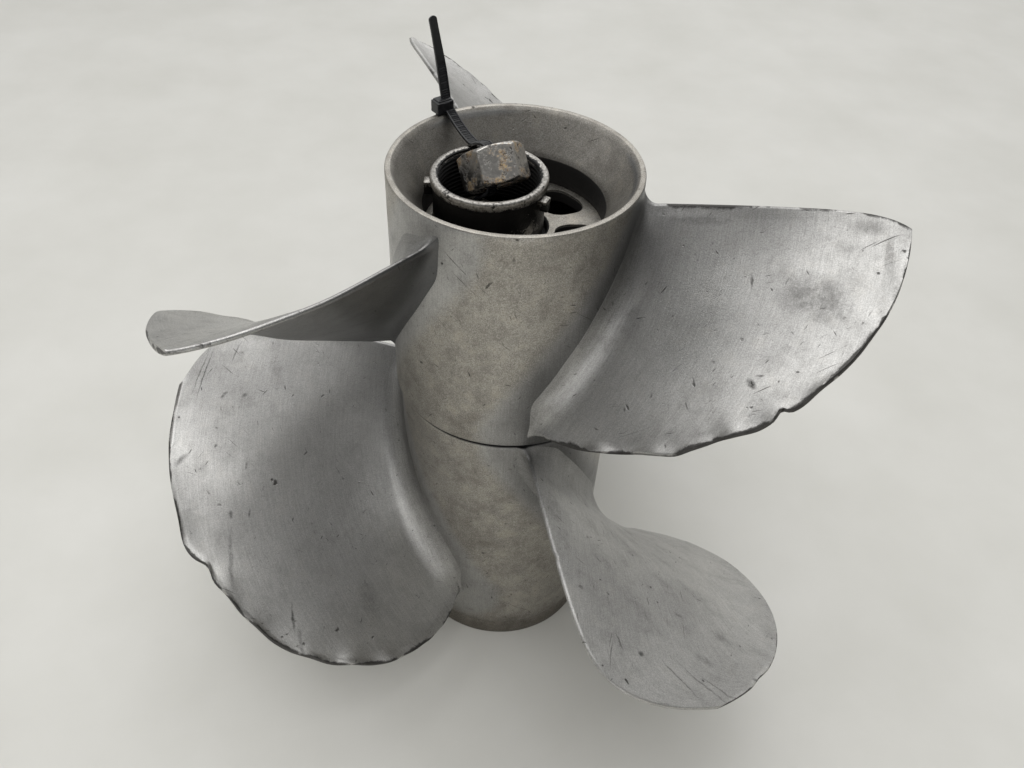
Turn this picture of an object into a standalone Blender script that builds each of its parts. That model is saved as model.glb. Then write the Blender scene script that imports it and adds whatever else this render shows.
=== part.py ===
# Pair of stacked, opposite-handed stern drive propellers, real size, in metres.
# Z is the shaft axis and points aft. Z = 0 is the plane that the front hub stands on.
import math

import bmesh
import bpy
from mathutils import Matrix, Vector

for old in list(bpy.data.objects):
    bpy.data.objects.remove(old, do_unlink=True)

# Driving dimensions of the hubs, metres
HUB = 0.055  # radius of the rear hub's aft rim; blade sizes are counted in hub radii
AFT_RIM = 0.280  # height of the aft rim's flat land
RUNNING_GAP = 0.0021  # between the two hubs, wide enough for the tie's strap
FRONT_TOP = 0.1626
REAR_BOTTOM = FRONT_TOP + RUNNING_GAP
SEAT_GAP = 0.0003  # left between pieces that touch
WEB_TOP = 0.2498
WEB_BOTTOM = 0.2440
HUB_SEGMENTS = 60
FRONT_RADIUS = 0.0533  # of the barrel at its top; it tapers down to the step
FRONT_LOW_RADIUS = 0.0509
FRONT_STEP = 0.0125  # height of the shallow step above the foot
FRONT_FOOT_BORE = 0.0454
FRONT_TOP_BORE = 0.0490
REAR_RADIUS = 0.0553  # of the barrel at its lower end
REAR_LOW_BORE = 0.0506
CUP_RADIUS = 0.0399  # of the black wall round the two nuts
CUP_TOP = 0.2622  # where the light cone starts
MOUTH_RADIUS = 0.0526

# Exhaust windows through the rear web
WINDOW_COUNT = 6
WINDOW_FIRST = 44.0  # degrees, centre of the first window
WINDOW_HALF = 22.5
WINDOW_INNER = 0.0186
WINDOW_OUTER = 0.0372
WINDOW_CORNER = 0.0050

# Inner tubes, rubber bushes and splined sleeves
REAR_TUBE = 0.0175
REAR_TUBE_BORE = 0.0150
REAR_TUBE_END = 0.1780
REAR_BUSH_BORE = 0.0118
REAR_SPLINE_ROOT = 0.0098
REAR_SPLINE_CREST = 0.0086
REAR_SPLINES = 14
FRONT_TUBE = 0.0340
FRONT_TUBE_BORE = 0.0300
FRONT_TUBE_LOW = 0.0100
FRONT_TUBE_HIGH = 0.1500
FRONT_BUSH_BORE = 0.0258
FRONT_SPLINE_ROOT = 0.0238
FRONT_SPLINE_CREST = 0.0222
FRONT_SPLINES = 17
RIB = 0.0060  # thickness of the ribs between tube and barrel
REAR_RIBS = (73.0, 193.0, 313.0)
REAR_RIB_REACH = (0.0163, 0.0520)
REAR_RIB_LOW = 0.1860
REAR_RIB_HIGH = 0.2465
FRONT_RIBS = (30.0, 150.0, 270.0)
FRONT_RIB_REACH = (0.0322, 0.0493)
FRONT_RIB_LOW = 0.0145
FRONT_RIB_HIGH = 0.1460
BUSH_INSET = 0.0060  # of the front bush's ends inside its tube
REAR_BUSH_LOW = 0.1820
REAR_BUSH_HIGH = 0.2460
SLEEVE_INSET = 0.0020  # of the front sleeve's ends inside its tube
REAR_SLEEVE_DROP = 0.0005  # of the rear sleeve's top below the web

# Blades. A blade's face is a helicoid: at radius r and depth d below the trailing edge datum, both in
# hub radii and with u = r - rim, its angle is
#   start + sweep1 u + sweep2 u^2 - hand ((pitch0 + pitch1 u + pitch2 u^2) d + (camber0 + camber1 u) d (2 - d))
# and its height is datum + rake1 u + rake2 u^2 - d. Angles are in degrees. A bent blade is bowed besides,
# by bow degrees about BOW_PLACE outside the rim, and no blade reaches below its face's floor.
REAR_FACE = dict(hand=1, rim=1.0, start=353.27, sweep1=0.46, sweep2=-0.11, pitch0=40.35, pitch1=-15.98,
                 pitch2=9.95, camber0=2.19, camber1=-2.13, datum=4.871, rake1=0.115, rake2=-0.018, floor=0.1650)
FRONT_FACE = dict(hand=-1, rim=0.972, start=162.93, sweep1=-0.43, sweep2=-0.96, pitch0=37.88, pitch1=-6.85,
                  pitch2=3.86, camber0=0.97, camber1=0.0, datum=2.901, rake1=0.035, rake2=-0.056, floor=0.0)
# Outline of each blade: tip radius, depth of the tip, how squarely the trailing edge turns into it, how far
# the trailing edge leans down, depth of the leading edge at the hub, its three shape factors, its tuck
REAR_BLADES = (
    dict(name="rear_blade_a", turn=0, tip=2.985, drop=0.053, square=9.3, lean=0.0, root=1.705,
         shape=(-0.123, -0.091, -0.113), tuck=0.0, bend=0.0, twist=0.0, bow=0.0),
    dict(name="rear_blade_b", turn=-120, tip=2.927, drop=0.22, square=1.5, lean=-0.1, root=1.83,
         shape=(0.185, -2.29, 2.258), tuck=0.0, bend=-0.004, twist=-0.38, bow=4.5),
    dict(name="rear_blade_c", turn=120, tip=2.734, drop=0.016, square=20.0, lean=0.0, root=1.927,
         shape=(-0.327, -0.921, 0.499), tuck=0.2, bend=-0.009, twist=0.143, bow=0.0),
)
FRONT_BLADES = (
    dict(name="front_blade_a", turn=0, tip=3.251, drop=0.408, square=18.8, lean=0.23, root=2.339,
         shape=(0.28, -0.325, -0.012), tuck=0.15, bend=0.0, twist=0.0, bow=0.0),
    dict(name="front_blade_b", turn=120, tip=3.288, drop=0.575, square=14.5, lean=0.231, root=2.605,
         shape=(0.104, -1.413, 0.96), tuck=0.60, bend=0.0, twist=0.0, bow=0.0),
    dict(name="front_blade_c", turn=-120, tip=3.274, drop=0.509, square=17.2, lean=0.233, root=2.496,
         shape=(0.052, -0.456, 0.106), tuck=0.45, bend=0.0, twist=0.0, bow=0.0),
)
BOW_PLACE = 0.5
BOW_REACH = 0.6
ROOT_THICKNESS = 0.0085
TIP_THICKNESS = 0.0030
EDGE_THICKNESS = 0.0021
ROOT_FILLET = 0.0070
BLADE_ROWS = 11
BLADE_COLUMNS = 10

# Loose ring nut on the rear web
RING_CENTRE = (-0.0110, 0.0005)
RING_BOTTOM = WEB_TOP + SEAT_GAP
RING_TOP = 0.2750
RING_RADIUS = 0.0244
RING_COLLAR = 0.0255
RING_COLLAR_LOW = 0.2714
RING_BORE = 0.0220
RING_LUG_REACH = (0.0232, 0.0281)
RING_LUG_LOW = 0.2640
RING_LUG_HIGH = 0.2704
RING_LUG_WIDTH = 0.0052
RING_LUGS = (78.0, 180.0, 335.0)

# Hexagon nut leaning in the ring nut's mouth
HEX_CENTRE = (-0.00935, 0.00558, 0.27420)
HEX_AXIS = (-0.29, 0.57)
HEX_SPIN = -0.89  # radians about its own axis
HEX_FLATS = 0.0261
HEX_LENGTH = 0.0163
HEX_BORE = 0.0080

# Nylon tie that holds the two nuts to the rear propeller
STRAP_WIDTH = 0.0048
STRAP_THICKNESS = 0.0013
TIE_TURN = 129.0  # degrees, where the strap runs down the outside of the hub
HEAD_SIZE = (0.0086, 0.0062, 0.0064)


def material(name, colour, roughness, metallic):
    """A plain surface in the piece's own colour."""
    mat = bpy.data.materials.new(name)
    mat.use_nodes = True
    shader = mat.node_tree.nodes["Principled BSDF"]
    shader.inputs["Base Color"].default_value = (*colour, 1.0)
    shader.inputs["Roughness"].default_value = roughness
    shader.inputs["Metallic"].default_value = metallic
    return mat


def make_object(name, points, faces, mat=None, centre=(0, 0, 0), smooth=35.0):
    """An object from points given round `centre`, with its normals turned outward."""
    mesh = bpy.data.meshes.new(name)
    mesh.from_pydata([tuple(p) for p in points], [], faces)
    bm = bmesh.new()
    bm.from_mesh(mesh)
    bmesh.ops.recalc_face_normals(bm, faces=bm.faces)
    bmesh.ops.triangulate(bm, faces=bm.faces)
    bm.to_mesh(mesh)
    bm.free()
    if mat:
        mesh.materials.append(mat)
    mesh.shade_smooth()
    mesh.set_sharp_from_angle(angle=math.radians(smooth))
    obj = bpy.data.objects.new(name, mesh)
    obj.location = centre
    bpy.context.scene.collection.objects.link(obj)
    return obj


def lathe(name, profile, segments, mat=None, centre=(0, 0, 0)):
    """Turns a closed profile of (radius, height) points round the vertical axis through `centre`."""
    points = []
    faces = []
    count = len(profile)
    for i in range(segments):
        angle = 2 * math.pi * i / segments
        for r, z in profile:
            points.append((r * math.cos(angle), r * math.sin(angle), z - centre[2]))
        for k in range(count):
            a = i * count + k
            b = i * count + (k + 1) % count
            c = ((i + 1) % segments) * count + (k + 1) % count
            d = ((i + 1) % segments) * count + k
            faces.append((a, b, c, d))
    return make_object(name, points, faces, mat, centre)


def prism(name, outline, low, high, mat=None):
    """A closed (x, y) outline between two heights."""
    count = len(outline)
    points = [(x, y, low) for x, y in outline] + [(x, y, high) for x, y in outline]
    faces = [tuple(range(count)), tuple(range(count, 2 * count))]
    for k in range(count):
        n = (k + 1) % count
        faces.append((k, n, count + n, count + k))
    return make_object(name, points, faces, mat)


def bar(name, reach, width, angle, low, high):
    """A radial bar between the two radii of `reach`, `width` thick, turned to `angle` degrees."""
    a = math.radians(angle)
    along = (math.cos(a), math.sin(a))
    across = (-math.sin(a), math.cos(a))
    outline = []
    for r, side in ((reach[0], -1), (reach[1], -1), (reach[1], 1), (reach[0], 1)):
        half = side * width / 2
        outline.append((r * along[0] + half * across[0], r * along[1] + half * across[1]))
    return prism(name, outline, low, high)


def combine(obj, other, operation):
    """Joins another shape to the object, or cuts it away, and keeps the other only as a guide."""
    mod = obj.modifiers.new(other.name, "BOOLEAN")
    mod.object = other
    mod.operation = operation
    mod.solver = "EXACT"
    other.hide_render = True
    other.display_type = "WIRE"


def window_outline(angle):
    """Sector-shaped window with round corners and an arc along its outer side, centred on `angle` degrees."""
    middle = math.radians(angle)
    half = math.radians(WINDOW_HALF)
    outline = []
    for radius, side, first in ((WINDOW_OUTER, 1, 0), (WINDOW_INNER, 1, 90), (WINDOW_INNER, -1, 180),
                                (WINDOW_OUTER, -1, 270)):
        corner = min(WINDOW_CORNER, 0.6 * radius * half)
        centre = radius - corner if radius == WINDOW_OUTER else radius + corner
        for step in range(5):
            t = math.radians(first + 22.5 * step)
            turn = side * (half - corner / radius) + corner * math.sin(t) / radius
            outline.append((centre + corner * math.cos(t), middle + turn))
    reach = half - WINDOW_CORNER / WINDOW_OUTER
    outline += [(WINDOW_OUTER, middle + reach * k) for k in (-0.5, 0.0, 0.5)]
    return [(r * math.cos(a), r * math.sin(a)) for r, a in outline]


def blade_angle(face, blade, u, d):
    """Angle in degrees of the blade's face, u outside the rim and d below the datum."""
    pitch = face["pitch0"] + face["pitch1"] * u + face["pitch2"] * u ** 2
    camber = (face["camber0"] + face["camber1"] * u) * d * (2 - d)
    lead = face["sweep1"] * u + (face["sweep2"] + blade["twist"]) * u ** 2
    bow = blade["bow"] * math.exp(-((u - BOW_PLACE) / BOW_REACH) ** 4) * (1 - max(1 - d, 0.0) ** 2)
    return face["start"] + blade["turn"] + lead + bow - face["hand"] * (pitch * d + camber)


def face_point(face, blade, r, d):
    """Point on the blade's face, in metres, from a radius and a depth in hub radii."""
    u = r - face["rim"]
    angle = math.radians(blade_angle(face, blade, max(u, 0.0), d))
    z = face["datum"] + face["rake1"] * u + (face["rake2"] + blade["bend"]) * max(u, 0.0) ** 2 - d
    return Vector((r * math.cos(angle), r * math.sin(angle), z)) * HUB


def face_normal(face, blade, r, d):
    """Unit normal of the blade's face, on its aft side."""
    step = 0.01
    along = face_point(face, blade, r + step, d) - face_point(face, blade, r - step, d)
    down = face_point(face, blade, r, d + step) - face_point(face, blade, r, d - step)
    normal = along.cross(down).normalized()
    return normal if normal.z > 0 else -normal


def edge_depths(blade, v):
    """Depths of the trailing and leading edges at v, which runs from 0 at the rim to 1 at the tip."""
    trailing = blade["lean"] * v ** 2 + (blade["drop"] - blade["lean"]) * v ** blade["square"]
    p1, p2, p3 = blade["shape"]
    swell = 1 + p1 * v + p2 * v ** 2 + p3 * v ** 3
    leading = blade["drop"] + (blade["root"] - blade["drop"]) * math.sqrt(max(1 - v * v, 0)) * swell
    leading -= blade["tuck"] * math.exp(-v / 0.09)
    return trailing, leading


def make_blade(face, blade, root_radius):
    """A closed blade: its face, its back, and the blunt edge between them."""
    rim = face["rim"]
    span = blade["tip"] - rim
    near = [root_radius / HUB - rim, 0.0, 0.045, 0.10]
    rows = [u / span if u > 0 else u for u in near]
    first = math.asin(0.19 / span)
    rows += [math.sin(first + (math.pi / 2 - first) * k / BLADE_ROWS) for k in range(BLADE_ROWS)]
    front = []
    back = []
    for v in rows:
        r = rim + (v if v < 0 else v * span)
        trailing, leading = edge_depths(blade, max(v, 0.0))
        away = max(r - rim, 0.0) * HUB
        flare = 0.0
        if away < ROOT_FILLET:
            flare = ROOT_FILLET - math.sqrt(ROOT_FILLET ** 2 - (ROOT_FILLET - away) ** 2)
        most = TIP_THICKNESS + (ROOT_THICKNESS - TIP_THICKNESS) * (1 - max(v, 0.0)) ** 1.3
        for k in range(BLADE_COLUMNS + 1):
            s = 0.5 - 0.5 * math.cos(math.pi * k / BLADE_COLUMNS)
            d = trailing + (leading - trailing) * s
            point = face_point(face, blade, r, d)
            normal = face_normal(face, blade, r, d)
            thick = EDGE_THICKNESS + (most - EDGE_THICKNESS) * (1 - (2 * s - 1) ** 2) ** 0.8
            spread = flare * (0.3 + 0.7 * math.sin(math.pi * s) ** 0.5)
            front.append(point + normal * spread)
            back.append(point - normal * (thick + spread))
            front[-1].z = max(front[-1].z, face["floor"])
            back[-1].z = max(back[-1].z, face["floor"])
    tip_point = face_point(face, blade, blade["tip"], blade["drop"])
    tip_normal = face_normal(face, blade, blade["tip"] - 0.02, blade["drop"])
    points = front + back + [tip_point, tip_point - tip_normal * EDGE_THICKNESS]
    wide = BLADE_COLUMNS + 1
    size = len(front)
    faces = []
    for i in range(len(rows) - 1):
        for k in range(BLADE_COLUMNS):
            a = i * wide + k
            faces.append((a, a + 1, a + wide + 1, a + wide))
            faces.append((size + a, size + a + wide, size + a + wide + 1, size + a + 1))
        for k in (0, BLADE_COLUMNS):
            a = i * wide + k
            faces.append((a, a + wide, size + a + wide, size + a))
    for k in range(BLADE_COLUMNS):
        faces.append((k, k + 1, size + k + 1, size + k))
        a = (len(rows) - 1) * wide + k
        faces.append((a, a + 1, 2 * size))
        faces.append((size + a, 2 * size + 1, size + a + 1))
    for k in (0, BLADE_COLUMNS):
        a = (len(rows) - 1) * wide + k
        faces.append((a, 2 * size, 2 * size + 1, size + a))
    return make_object(blade["name"], points, faces, smooth=60.0)


def sleeve(name, outer, root, crest, splines, low, high, mat):
    """A round sleeve whose bore has straight splines with slightly slanted flanks."""
    points = []
    for z in (low, high):
        for k in range(splines):
            for part, r in ((0.04, crest), (0.46, crest), (0.54, root), (0.96, root)):
                angle = 2 * math.pi * (k + part) / splines
                points.append((outer * math.cos(angle), outer * math.sin(angle), z))
                points.append((r * math.cos(angle), r * math.sin(angle), z))
    count = 4 * splines
    faces = []
    for k in range(count):
        n = (k + 1) % count
        out_a, in_a, out_b, in_b = 2 * k, 2 * k + 1, 2 * n, 2 * n + 1
        top = 2 * count
        faces.append((out_a, out_b, in_b, in_a))
        faces.append((top + out_a, top + in_a, top + in_b, top + out_b))
        faces.append((out_a, top + out_a, top + out_b, out_b))
        faces.append((in_a, in_b, top + in_b, top + in_a))
    return make_object(name, points, faces, mat)


steel_front = material("cast_stainless_front", (0.40, 0.39, 0.38), 0.36, 1.0)
steel_rear = material("cast_stainless_rear", (0.42, 0.41, 0.39), 0.34, 1.0)
rubber_front = material("rubber_front", (0.02, 0.02, 0.02), 0.8, 0.0)
rubber_rear = material("rubber_rear", (0.02, 0.02, 0.02), 0.8, 0.0)
sleeve_front = material("splined_steel_front", (0.30, 0.29, 0.27), 0.45, 1.0)
sleeve_rear = material("splined_steel_rear", (0.30, 0.29, 0.27), 0.45, 1.0)
ring_steel = material("greasy_ring_steel", (0.16, 0.15, 0.14), 0.4, 1.0)
nut_steel = material("worn_nut_steel", (0.45, 0.42, 0.38), 0.42, 1.0)
nylon = material("black_nylon", (0.012, 0.012, 0.014), 0.45, 0.0)

# Front propeller: tapered barrel with a shallow step above its foot, inner tube, three ribs, three blades
front_profile = [
    (FRONT_RADIUS - 0.0007, FRONT_TOP), (FRONT_RADIUS, FRONT_TOP - 0.0007), (FRONT_RADIUS, 0.1560),
    (FRONT_LOW_RADIUS, FRONT_STEP), (FRONT_LOW_RADIUS - 0.0012, FRONT_STEP - 0.0017), (0.0500, 0.0040),
    (0.0504, 0.0012), (0.0498, 0.0), (FRONT_FOOT_BORE, 0.0), (0.0458, 0.0200), (0.0486, FRONT_TUBE_HIGH),
    (FRONT_TOP_BORE, FRONT_TOP),
]
front = lathe("front_propeller", front_profile, HUB_SEGMENTS, steel_front)
front_tube = lathe("front_tube", [
    (FRONT_TUBE, FRONT_TUBE_LOW), (FRONT_TUBE, FRONT_TUBE_HIGH), (FRONT_TUBE_BORE, FRONT_TUBE_HIGH),
    (FRONT_TUBE_BORE, FRONT_TUBE_LOW)], HUB_SEGMENTS)
for number, angle in enumerate(FRONT_RIBS):
    rib = bar("front_rib_%d" % (number + 1), FRONT_RIB_REACH, RIB, angle, FRONT_RIB_LOW, FRONT_RIB_HIGH)
    combine(front, rib, "UNION")
    if number == 0:
        combine(front, front_tube, "UNION")
for blade in FRONT_BLADES:
    combine(front, make_blade(FRONT_FACE, blade, 0.0496), "UNION")
bush_low = FRONT_TUBE_LOW + BUSH_INSET
bush_high = FRONT_TUBE_HIGH - BUSH_INSET
lathe("front_rubber_bush", [
    (FRONT_TUBE_BORE - SEAT_GAP, bush_low), (FRONT_TUBE_BORE - SEAT_GAP, bush_high), (FRONT_BUSH_BORE, bush_high),
    (FRONT_BUSH_BORE, bush_low)], 40, rubber_front)
sleeve("front_splined_sleeve", FRONT_BUSH_BORE - SEAT_GAP, FRONT_SPLINE_ROOT, FRONT_SPLINE_CREST,
       FRONT_SPLINES, FRONT_TUBE_LOW + SLEEVE_INSET, FRONT_TUBE_HIGH - SLEEVE_INSET, sleeve_front)

# Rear propeller: its origin is on the spin axis at the running gap
spin_centre = (0.0, 0.0, REAR_BOTTOM)
rear_profile = [
    (HUB - 0.0002, AFT_RIM), (HUB, AFT_RIM - 0.0006), (REAR_RADIUS, REAR_BOTTOM + 0.0016),
    (REAR_RADIUS - 0.0010, REAR_BOTTOM), (REAR_LOW_BORE + 0.0008, REAR_BOTTOM),
    (REAR_LOW_BORE, REAR_BOTTOM + 0.0010),
    (0.0504, 0.2280), (0.0450, WEB_BOTTOM),
    (REAR_TUBE, WEB_BOTTOM), (REAR_TUBE, REAR_TUBE_END), (REAR_TUBE_BORE, REAR_TUBE_END),
    (REAR_TUBE_BORE, WEB_TOP), (CUP_RADIUS + 0.0003, WEB_TOP), (CUP_RADIUS, CUP_TOP), (MOUTH_RADIUS, AFT_RIM),
]
rear = lathe("rear_propeller", rear_profile, HUB_SEGMENTS, steel_rear, spin_centre)
for number in range(WINDOW_COUNT):
    angle = WINDOW_FIRST + 360.0 / WINDOW_COUNT * number
    window = prism("exhaust_window_%d" % (number + 1), window_outline(angle), WEB_BOTTOM - 0.003, WEB_TOP + 0.003)
    combine(rear, window, "DIFFERENCE")
for number, angle in enumerate(REAR_RIBS):
    rib = bar("rear_rib_%d" % (number + 1), REAR_RIB_REACH, RIB, angle, REAR_RIB_LOW, REAR_RIB_HIGH)
    combine(rear, rib, "UNION")
for blade in REAR_BLADES:
    combine(rear, make_blade(REAR_FACE, blade, 0.0521), "UNION")
lathe("rear_rubber_bush", [
    (REAR_TUBE_BORE - SEAT_GAP, REAR_BUSH_LOW), (REAR_TUBE_BORE - SEAT_GAP, REAR_BUSH_HIGH),
    (REAR_BUSH_BORE, REAR_BUSH_HIGH), (REAR_BUSH_BORE, REAR_BUSH_LOW)], 32, rubber_rear)
sleeve("rear_splined_sleeve", REAR_BUSH_BORE - SEAT_GAP, REAR_SPLINE_ROOT, REAR_SPLINE_CREST, REAR_SPLINES,
       REAR_TUBE_END, WEB_TOP - REAR_SLEEVE_DROP, sleeve_rear)

# Ring nut: plain bore, a worn collar at the top, three lugs below it
ring_profile = [
    (RING_RADIUS, RING_BOTTOM), (RING_RADIUS, RING_COLLAR_LOW - 0.0006), (RING_COLLAR, RING_COLLAR_LOW),
    (RING_COLLAR, RING_TOP - 0.0006),
    (RING_COLLAR - 0.0006, RING_TOP), (RING_BORE + 0.0006, RING_TOP), (RING_BORE, RING_TOP - 0.0006),
    (RING_BORE, RING_BOTTOM),
]
ring = lathe("ring_nut", [(r, z - RING_BOTTOM) for r, z in ring_profile], 56, ring_steel,
             (RING_CENTRE[0], RING_CENTRE[1], 0.0))
ring.location.z = RING_BOTTOM
for number, angle in enumerate(RING_LUGS):
    lug = bar("ring_lug_%d" % (number + 1), RING_LUG_REACH, RING_LUG_WIDTH, angle, RING_LUG_LOW - RING_BOTTOM,
              RING_LUG_HIGH - RING_BOTTOM)
    lug.location = ring.location
    combine(ring, lug, "UNION")

# Hexagon nut: a prism met by a turned body that chamfers its corners, with a plain bore
hex_axis = Vector((HEX_AXIS[0], HEX_AXIS[1], math.sqrt(1 - HEX_AXIS[0] ** 2 - HEX_AXIS[1] ** 2)))
hex_side = hex_axis.cross(Vector((1, 0, 0))).normalized()
hex_front = hex_side.cross(hex_axis)
hex_x = math.cos(HEX_SPIN) * hex_front + math.sin(HEX_SPIN) * hex_side
hex_y = hex_axis.cross(hex_x)
hex_pose = Matrix((hex_x, hex_y, hex_axis)).transposed().to_4x4()
hex_pose.translation = Vector(HEX_CENTRE)
corner = HEX_FLATS / math.sqrt(3)
hexagon = [(corner * math.cos(math.radians(60 * k)), corner * math.sin(math.radians(60 * k))) for k in range(6)]
nut = prism("hex_nut", hexagon, -HEX_LENGTH / 2, HEX_LENGTH / 2, nut_steel)
nut.matrix_world = hex_pose
flat = HEX_FLATS / 2
chamfer = (corner - flat * 0.97) * math.tan(math.radians(30))
turned = lathe("hex_chamfer", [
    (flat * 0.97, -HEX_LENGTH / 2), (corner + 0.0010, -HEX_LENGTH / 2 + chamfer * 1.5),
    (corner + 0.0010, HEX_LENGTH / 2 - chamfer * 1.5), (flat * 0.97, HEX_LENGTH / 2), (HEX_BORE, HEX_LENGTH / 2),
    (HEX_BORE, -HEX_LENGTH / 2)], 36)
turned.matrix_world = hex_pose
combine(nut, turned, "INTERSECT")

# Cable tie: strap from the head down outside the hub, under its edge, up through a window, the ring nut
# and the hexagon nut, and back through the head to its free end
around = math.radians(TIE_TURN)
outward = Vector((math.cos(around), math.sin(around), 0))
sideways = Vector((-math.sin(around), math.cos(around), 0))


def at_hub(radius, height):
    return outward * radius + Vector((0, 0, height))


def strap_route():
    """Points along the middle of the strap, from the head's outer side to its free end."""
    half = STRAP_THICKNESS / 2
    outside = REAR_RADIUS + SEAT_GAP + half
    under = REAR_BOTTOM - RUNNING_GAP / 2
    entry = Vector(HEX_CENTRE) - hex_axis * HEX_LENGTH * 0.5
    leave = Vector(HEX_CENTRE) + hex_axis * HEX_LENGTH * 0.5
    return [
        at_hub(0.0568, 0.2815), at_hub(0.0566, 0.2770), at_hub(outside, 0.2700), at_hub(outside + 0.0001, 0.2200),
        at_hub(outside + 0.0002, 0.1720), at_hub(0.0564, 0.1668), at_hub(0.0557, 0.1642), at_hub(0.0540, under),
        at_hub(0.0510, under), at_hub(0.0490, 0.1645), at_hub(0.0482, 0.1680), at_hub(0.0462, 0.1760),
        Vector((-0.0265, 0.0220, 0.2150)), Vector((-0.0222, 0.0080, 0.2420)), Vector((-0.0205, 0.0035, 0.2520)),
        Vector((-0.0160, -0.0012, 0.2625)), entry + Vector((-0.0032, -0.0012, -0.0012)),
        Vector(HEX_CENTRE) + Vector((-0.0010, 0.0005, 0.0002)), leave + hex_axis * 0.0012,
        Vector((-0.0157, 0.0163, 0.2801)), Vector((-0.0191, 0.0225, 0.2764)), Vector((-0.0245, 0.0315, 0.2772)),
        Vector((-0.0300, 0.0400, 0.2806)), Vector((-0.0325, 0.0434, 0.2836)), Vector((-0.0336, 0.0448, 0.2890)),
        Vector((-0.0350, 0.0450, 0.3000)), Vector((-0.0368, 0.0447, 0.3120)), Vector((-0.0385, 0.0440, 0.3230)),
    ]


def smooth_route(route, spacing):
    """A Catmull-Rom curve through the route's points, sampled about every `spacing`."""
    ends = [route[0] * 2 - route[1]] + route + [route[-1] * 2 - route[-2]]
    out = []
    for k in range(1, len(ends) - 2):
        a, b, c, d = ends[k - 1], ends[k], ends[k + 1], ends[k + 2]
        steps = max(1, round((c - b).length / spacing))
        for i in range(steps):
            t = i / steps
            out.append(0.5 * (2 * b + (c - a) * t + (2 * a - 5 * b + 4 * c - d) * t ** 2
                              + (3 * b - a - 3 * c + d) * t ** 3))
    out.append(route[-1])
    return out


def sweep(name, path, wide, width, thickness, mat):
    """A flat strip along the path, its width kept to the direction `wide`."""
    points = []
    faces = []
    for k, here in enumerate(path):
        ahead = (path[min(k + 1, len(path) - 1)] - path[max(k - 1, 0)]).normalized()
        across = (wide - ahead * wide.dot(ahead)).normalized()
        up = ahead.cross(across)
        for sx, sy in ((-1, -1), (1, -1), (1, 1), (-1, 1)):
            points.append(here + across * (sx * width / 2) + up * (sy * thickness / 2))
        if k:
            for j in range(4):
                n = (j + 1) % 4
                faces.append((4 * k - 4 + j, 4 * k - 4 + n, 4 * k + n, 4 * k + j))
    last = 4 * len(path) - 4
    faces += [(0, 1, 2, 3), (last, last + 1, last + 2, last + 3)]
    return make_object(name, points, faces, mat)


tie = sweep("cable_tie", smooth_route(strap_route(), 0.0045), sideways, STRAP_WIDTH, STRAP_THICKNESS, nylon)
head = prism("tie_head", [(-HEAD_SIZE[0] / 2, -HEAD_SIZE[1] / 2), (HEAD_SIZE[0] / 2, -HEAD_SIZE[1] / 2),
                          (HEAD_SIZE[0] / 2, HEAD_SIZE[1] / 2), (-HEAD_SIZE[0] / 2, HEAD_SIZE[1] / 2)], 0.0,
             HEAD_SIZE[2])
head_pose = Matrix((sideways, outward, Vector((0, 0, 1)))).transposed().to_4x4()
head_pose.translation = at_hub(HUB, AFT_RIM + SEAT_GAP)
head.matrix_world = head_pose
combine(tie, head, "UNION")
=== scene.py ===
# A stacked pair of opposite-handed stern drive propellers in cast stainless steel, with a loose ring nut,
# a hexagon nut and the nylon tie that holds both nuts to the rear propeller. Metres, Z up along the shaft.
import math
import bpy
import numpy as np
from mathutils import Matrix


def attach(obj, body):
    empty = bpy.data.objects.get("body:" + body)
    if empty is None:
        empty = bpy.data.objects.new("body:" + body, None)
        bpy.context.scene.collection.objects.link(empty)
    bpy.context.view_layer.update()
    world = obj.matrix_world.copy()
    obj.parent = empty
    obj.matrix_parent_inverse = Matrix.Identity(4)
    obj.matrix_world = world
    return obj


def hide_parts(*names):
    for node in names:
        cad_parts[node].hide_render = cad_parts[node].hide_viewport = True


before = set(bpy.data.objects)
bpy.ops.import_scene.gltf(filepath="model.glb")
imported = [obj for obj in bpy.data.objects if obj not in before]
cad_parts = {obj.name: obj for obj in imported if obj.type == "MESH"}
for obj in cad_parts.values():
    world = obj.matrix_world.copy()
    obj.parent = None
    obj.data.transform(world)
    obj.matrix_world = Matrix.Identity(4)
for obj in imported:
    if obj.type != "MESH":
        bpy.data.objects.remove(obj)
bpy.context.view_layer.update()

hub = 0.055  # radius of the aft rim; blade sizes are counted in hub radii
mm = 0.001


# Colour from an sRGB hex code to linear values, with alpha
def hexColour(code):
    parts = np.array([int(code[i:i + 2], 16) for i in (1, 3, 5)]) / 255
    linear = np.where(parts <= 0.04045, parts / 12.92, ((parts + 0.055) / 1.055) ** 2.4)
    return (*[float(c) for c in linear], 1.0)


# One node with its settings; each input is a number, a vector, a hex colour or a link. Gives one output
def addNode(tree, kind, inputs=(), output=0, **settings):
    node = tree.nodes.new("ShaderNode" + kind)
    for name, value in settings.items():
        setattr(node, name, value)
    for name, value in (inputs if isinstance(inputs, dict) else dict(enumerate(inputs))).items():
        if isinstance(value, bpy.types.NodeSocket):
            tree.links.new(value, node.inputs[name])
        else:
            node.inputs[name].default_value = hexColour(value) if isinstance(value, str) else value
    return node.outputs[output] if node.outputs else node


# Colours laid over each other: each layer is its share, as factors to multiply, and its colour
def layColours(tree, colour, layers):
    for factors, over in layers:
        share = factors[0]
        for factor in factors[1:]:
            share = addNode(tree, "Math", (share, factor), operation="MULTIPLY")
        colour = addNode(tree, "Mix", {0: share, 6: colour, 7: over}, 2, data_type="RGBA")
    return colour


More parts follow.
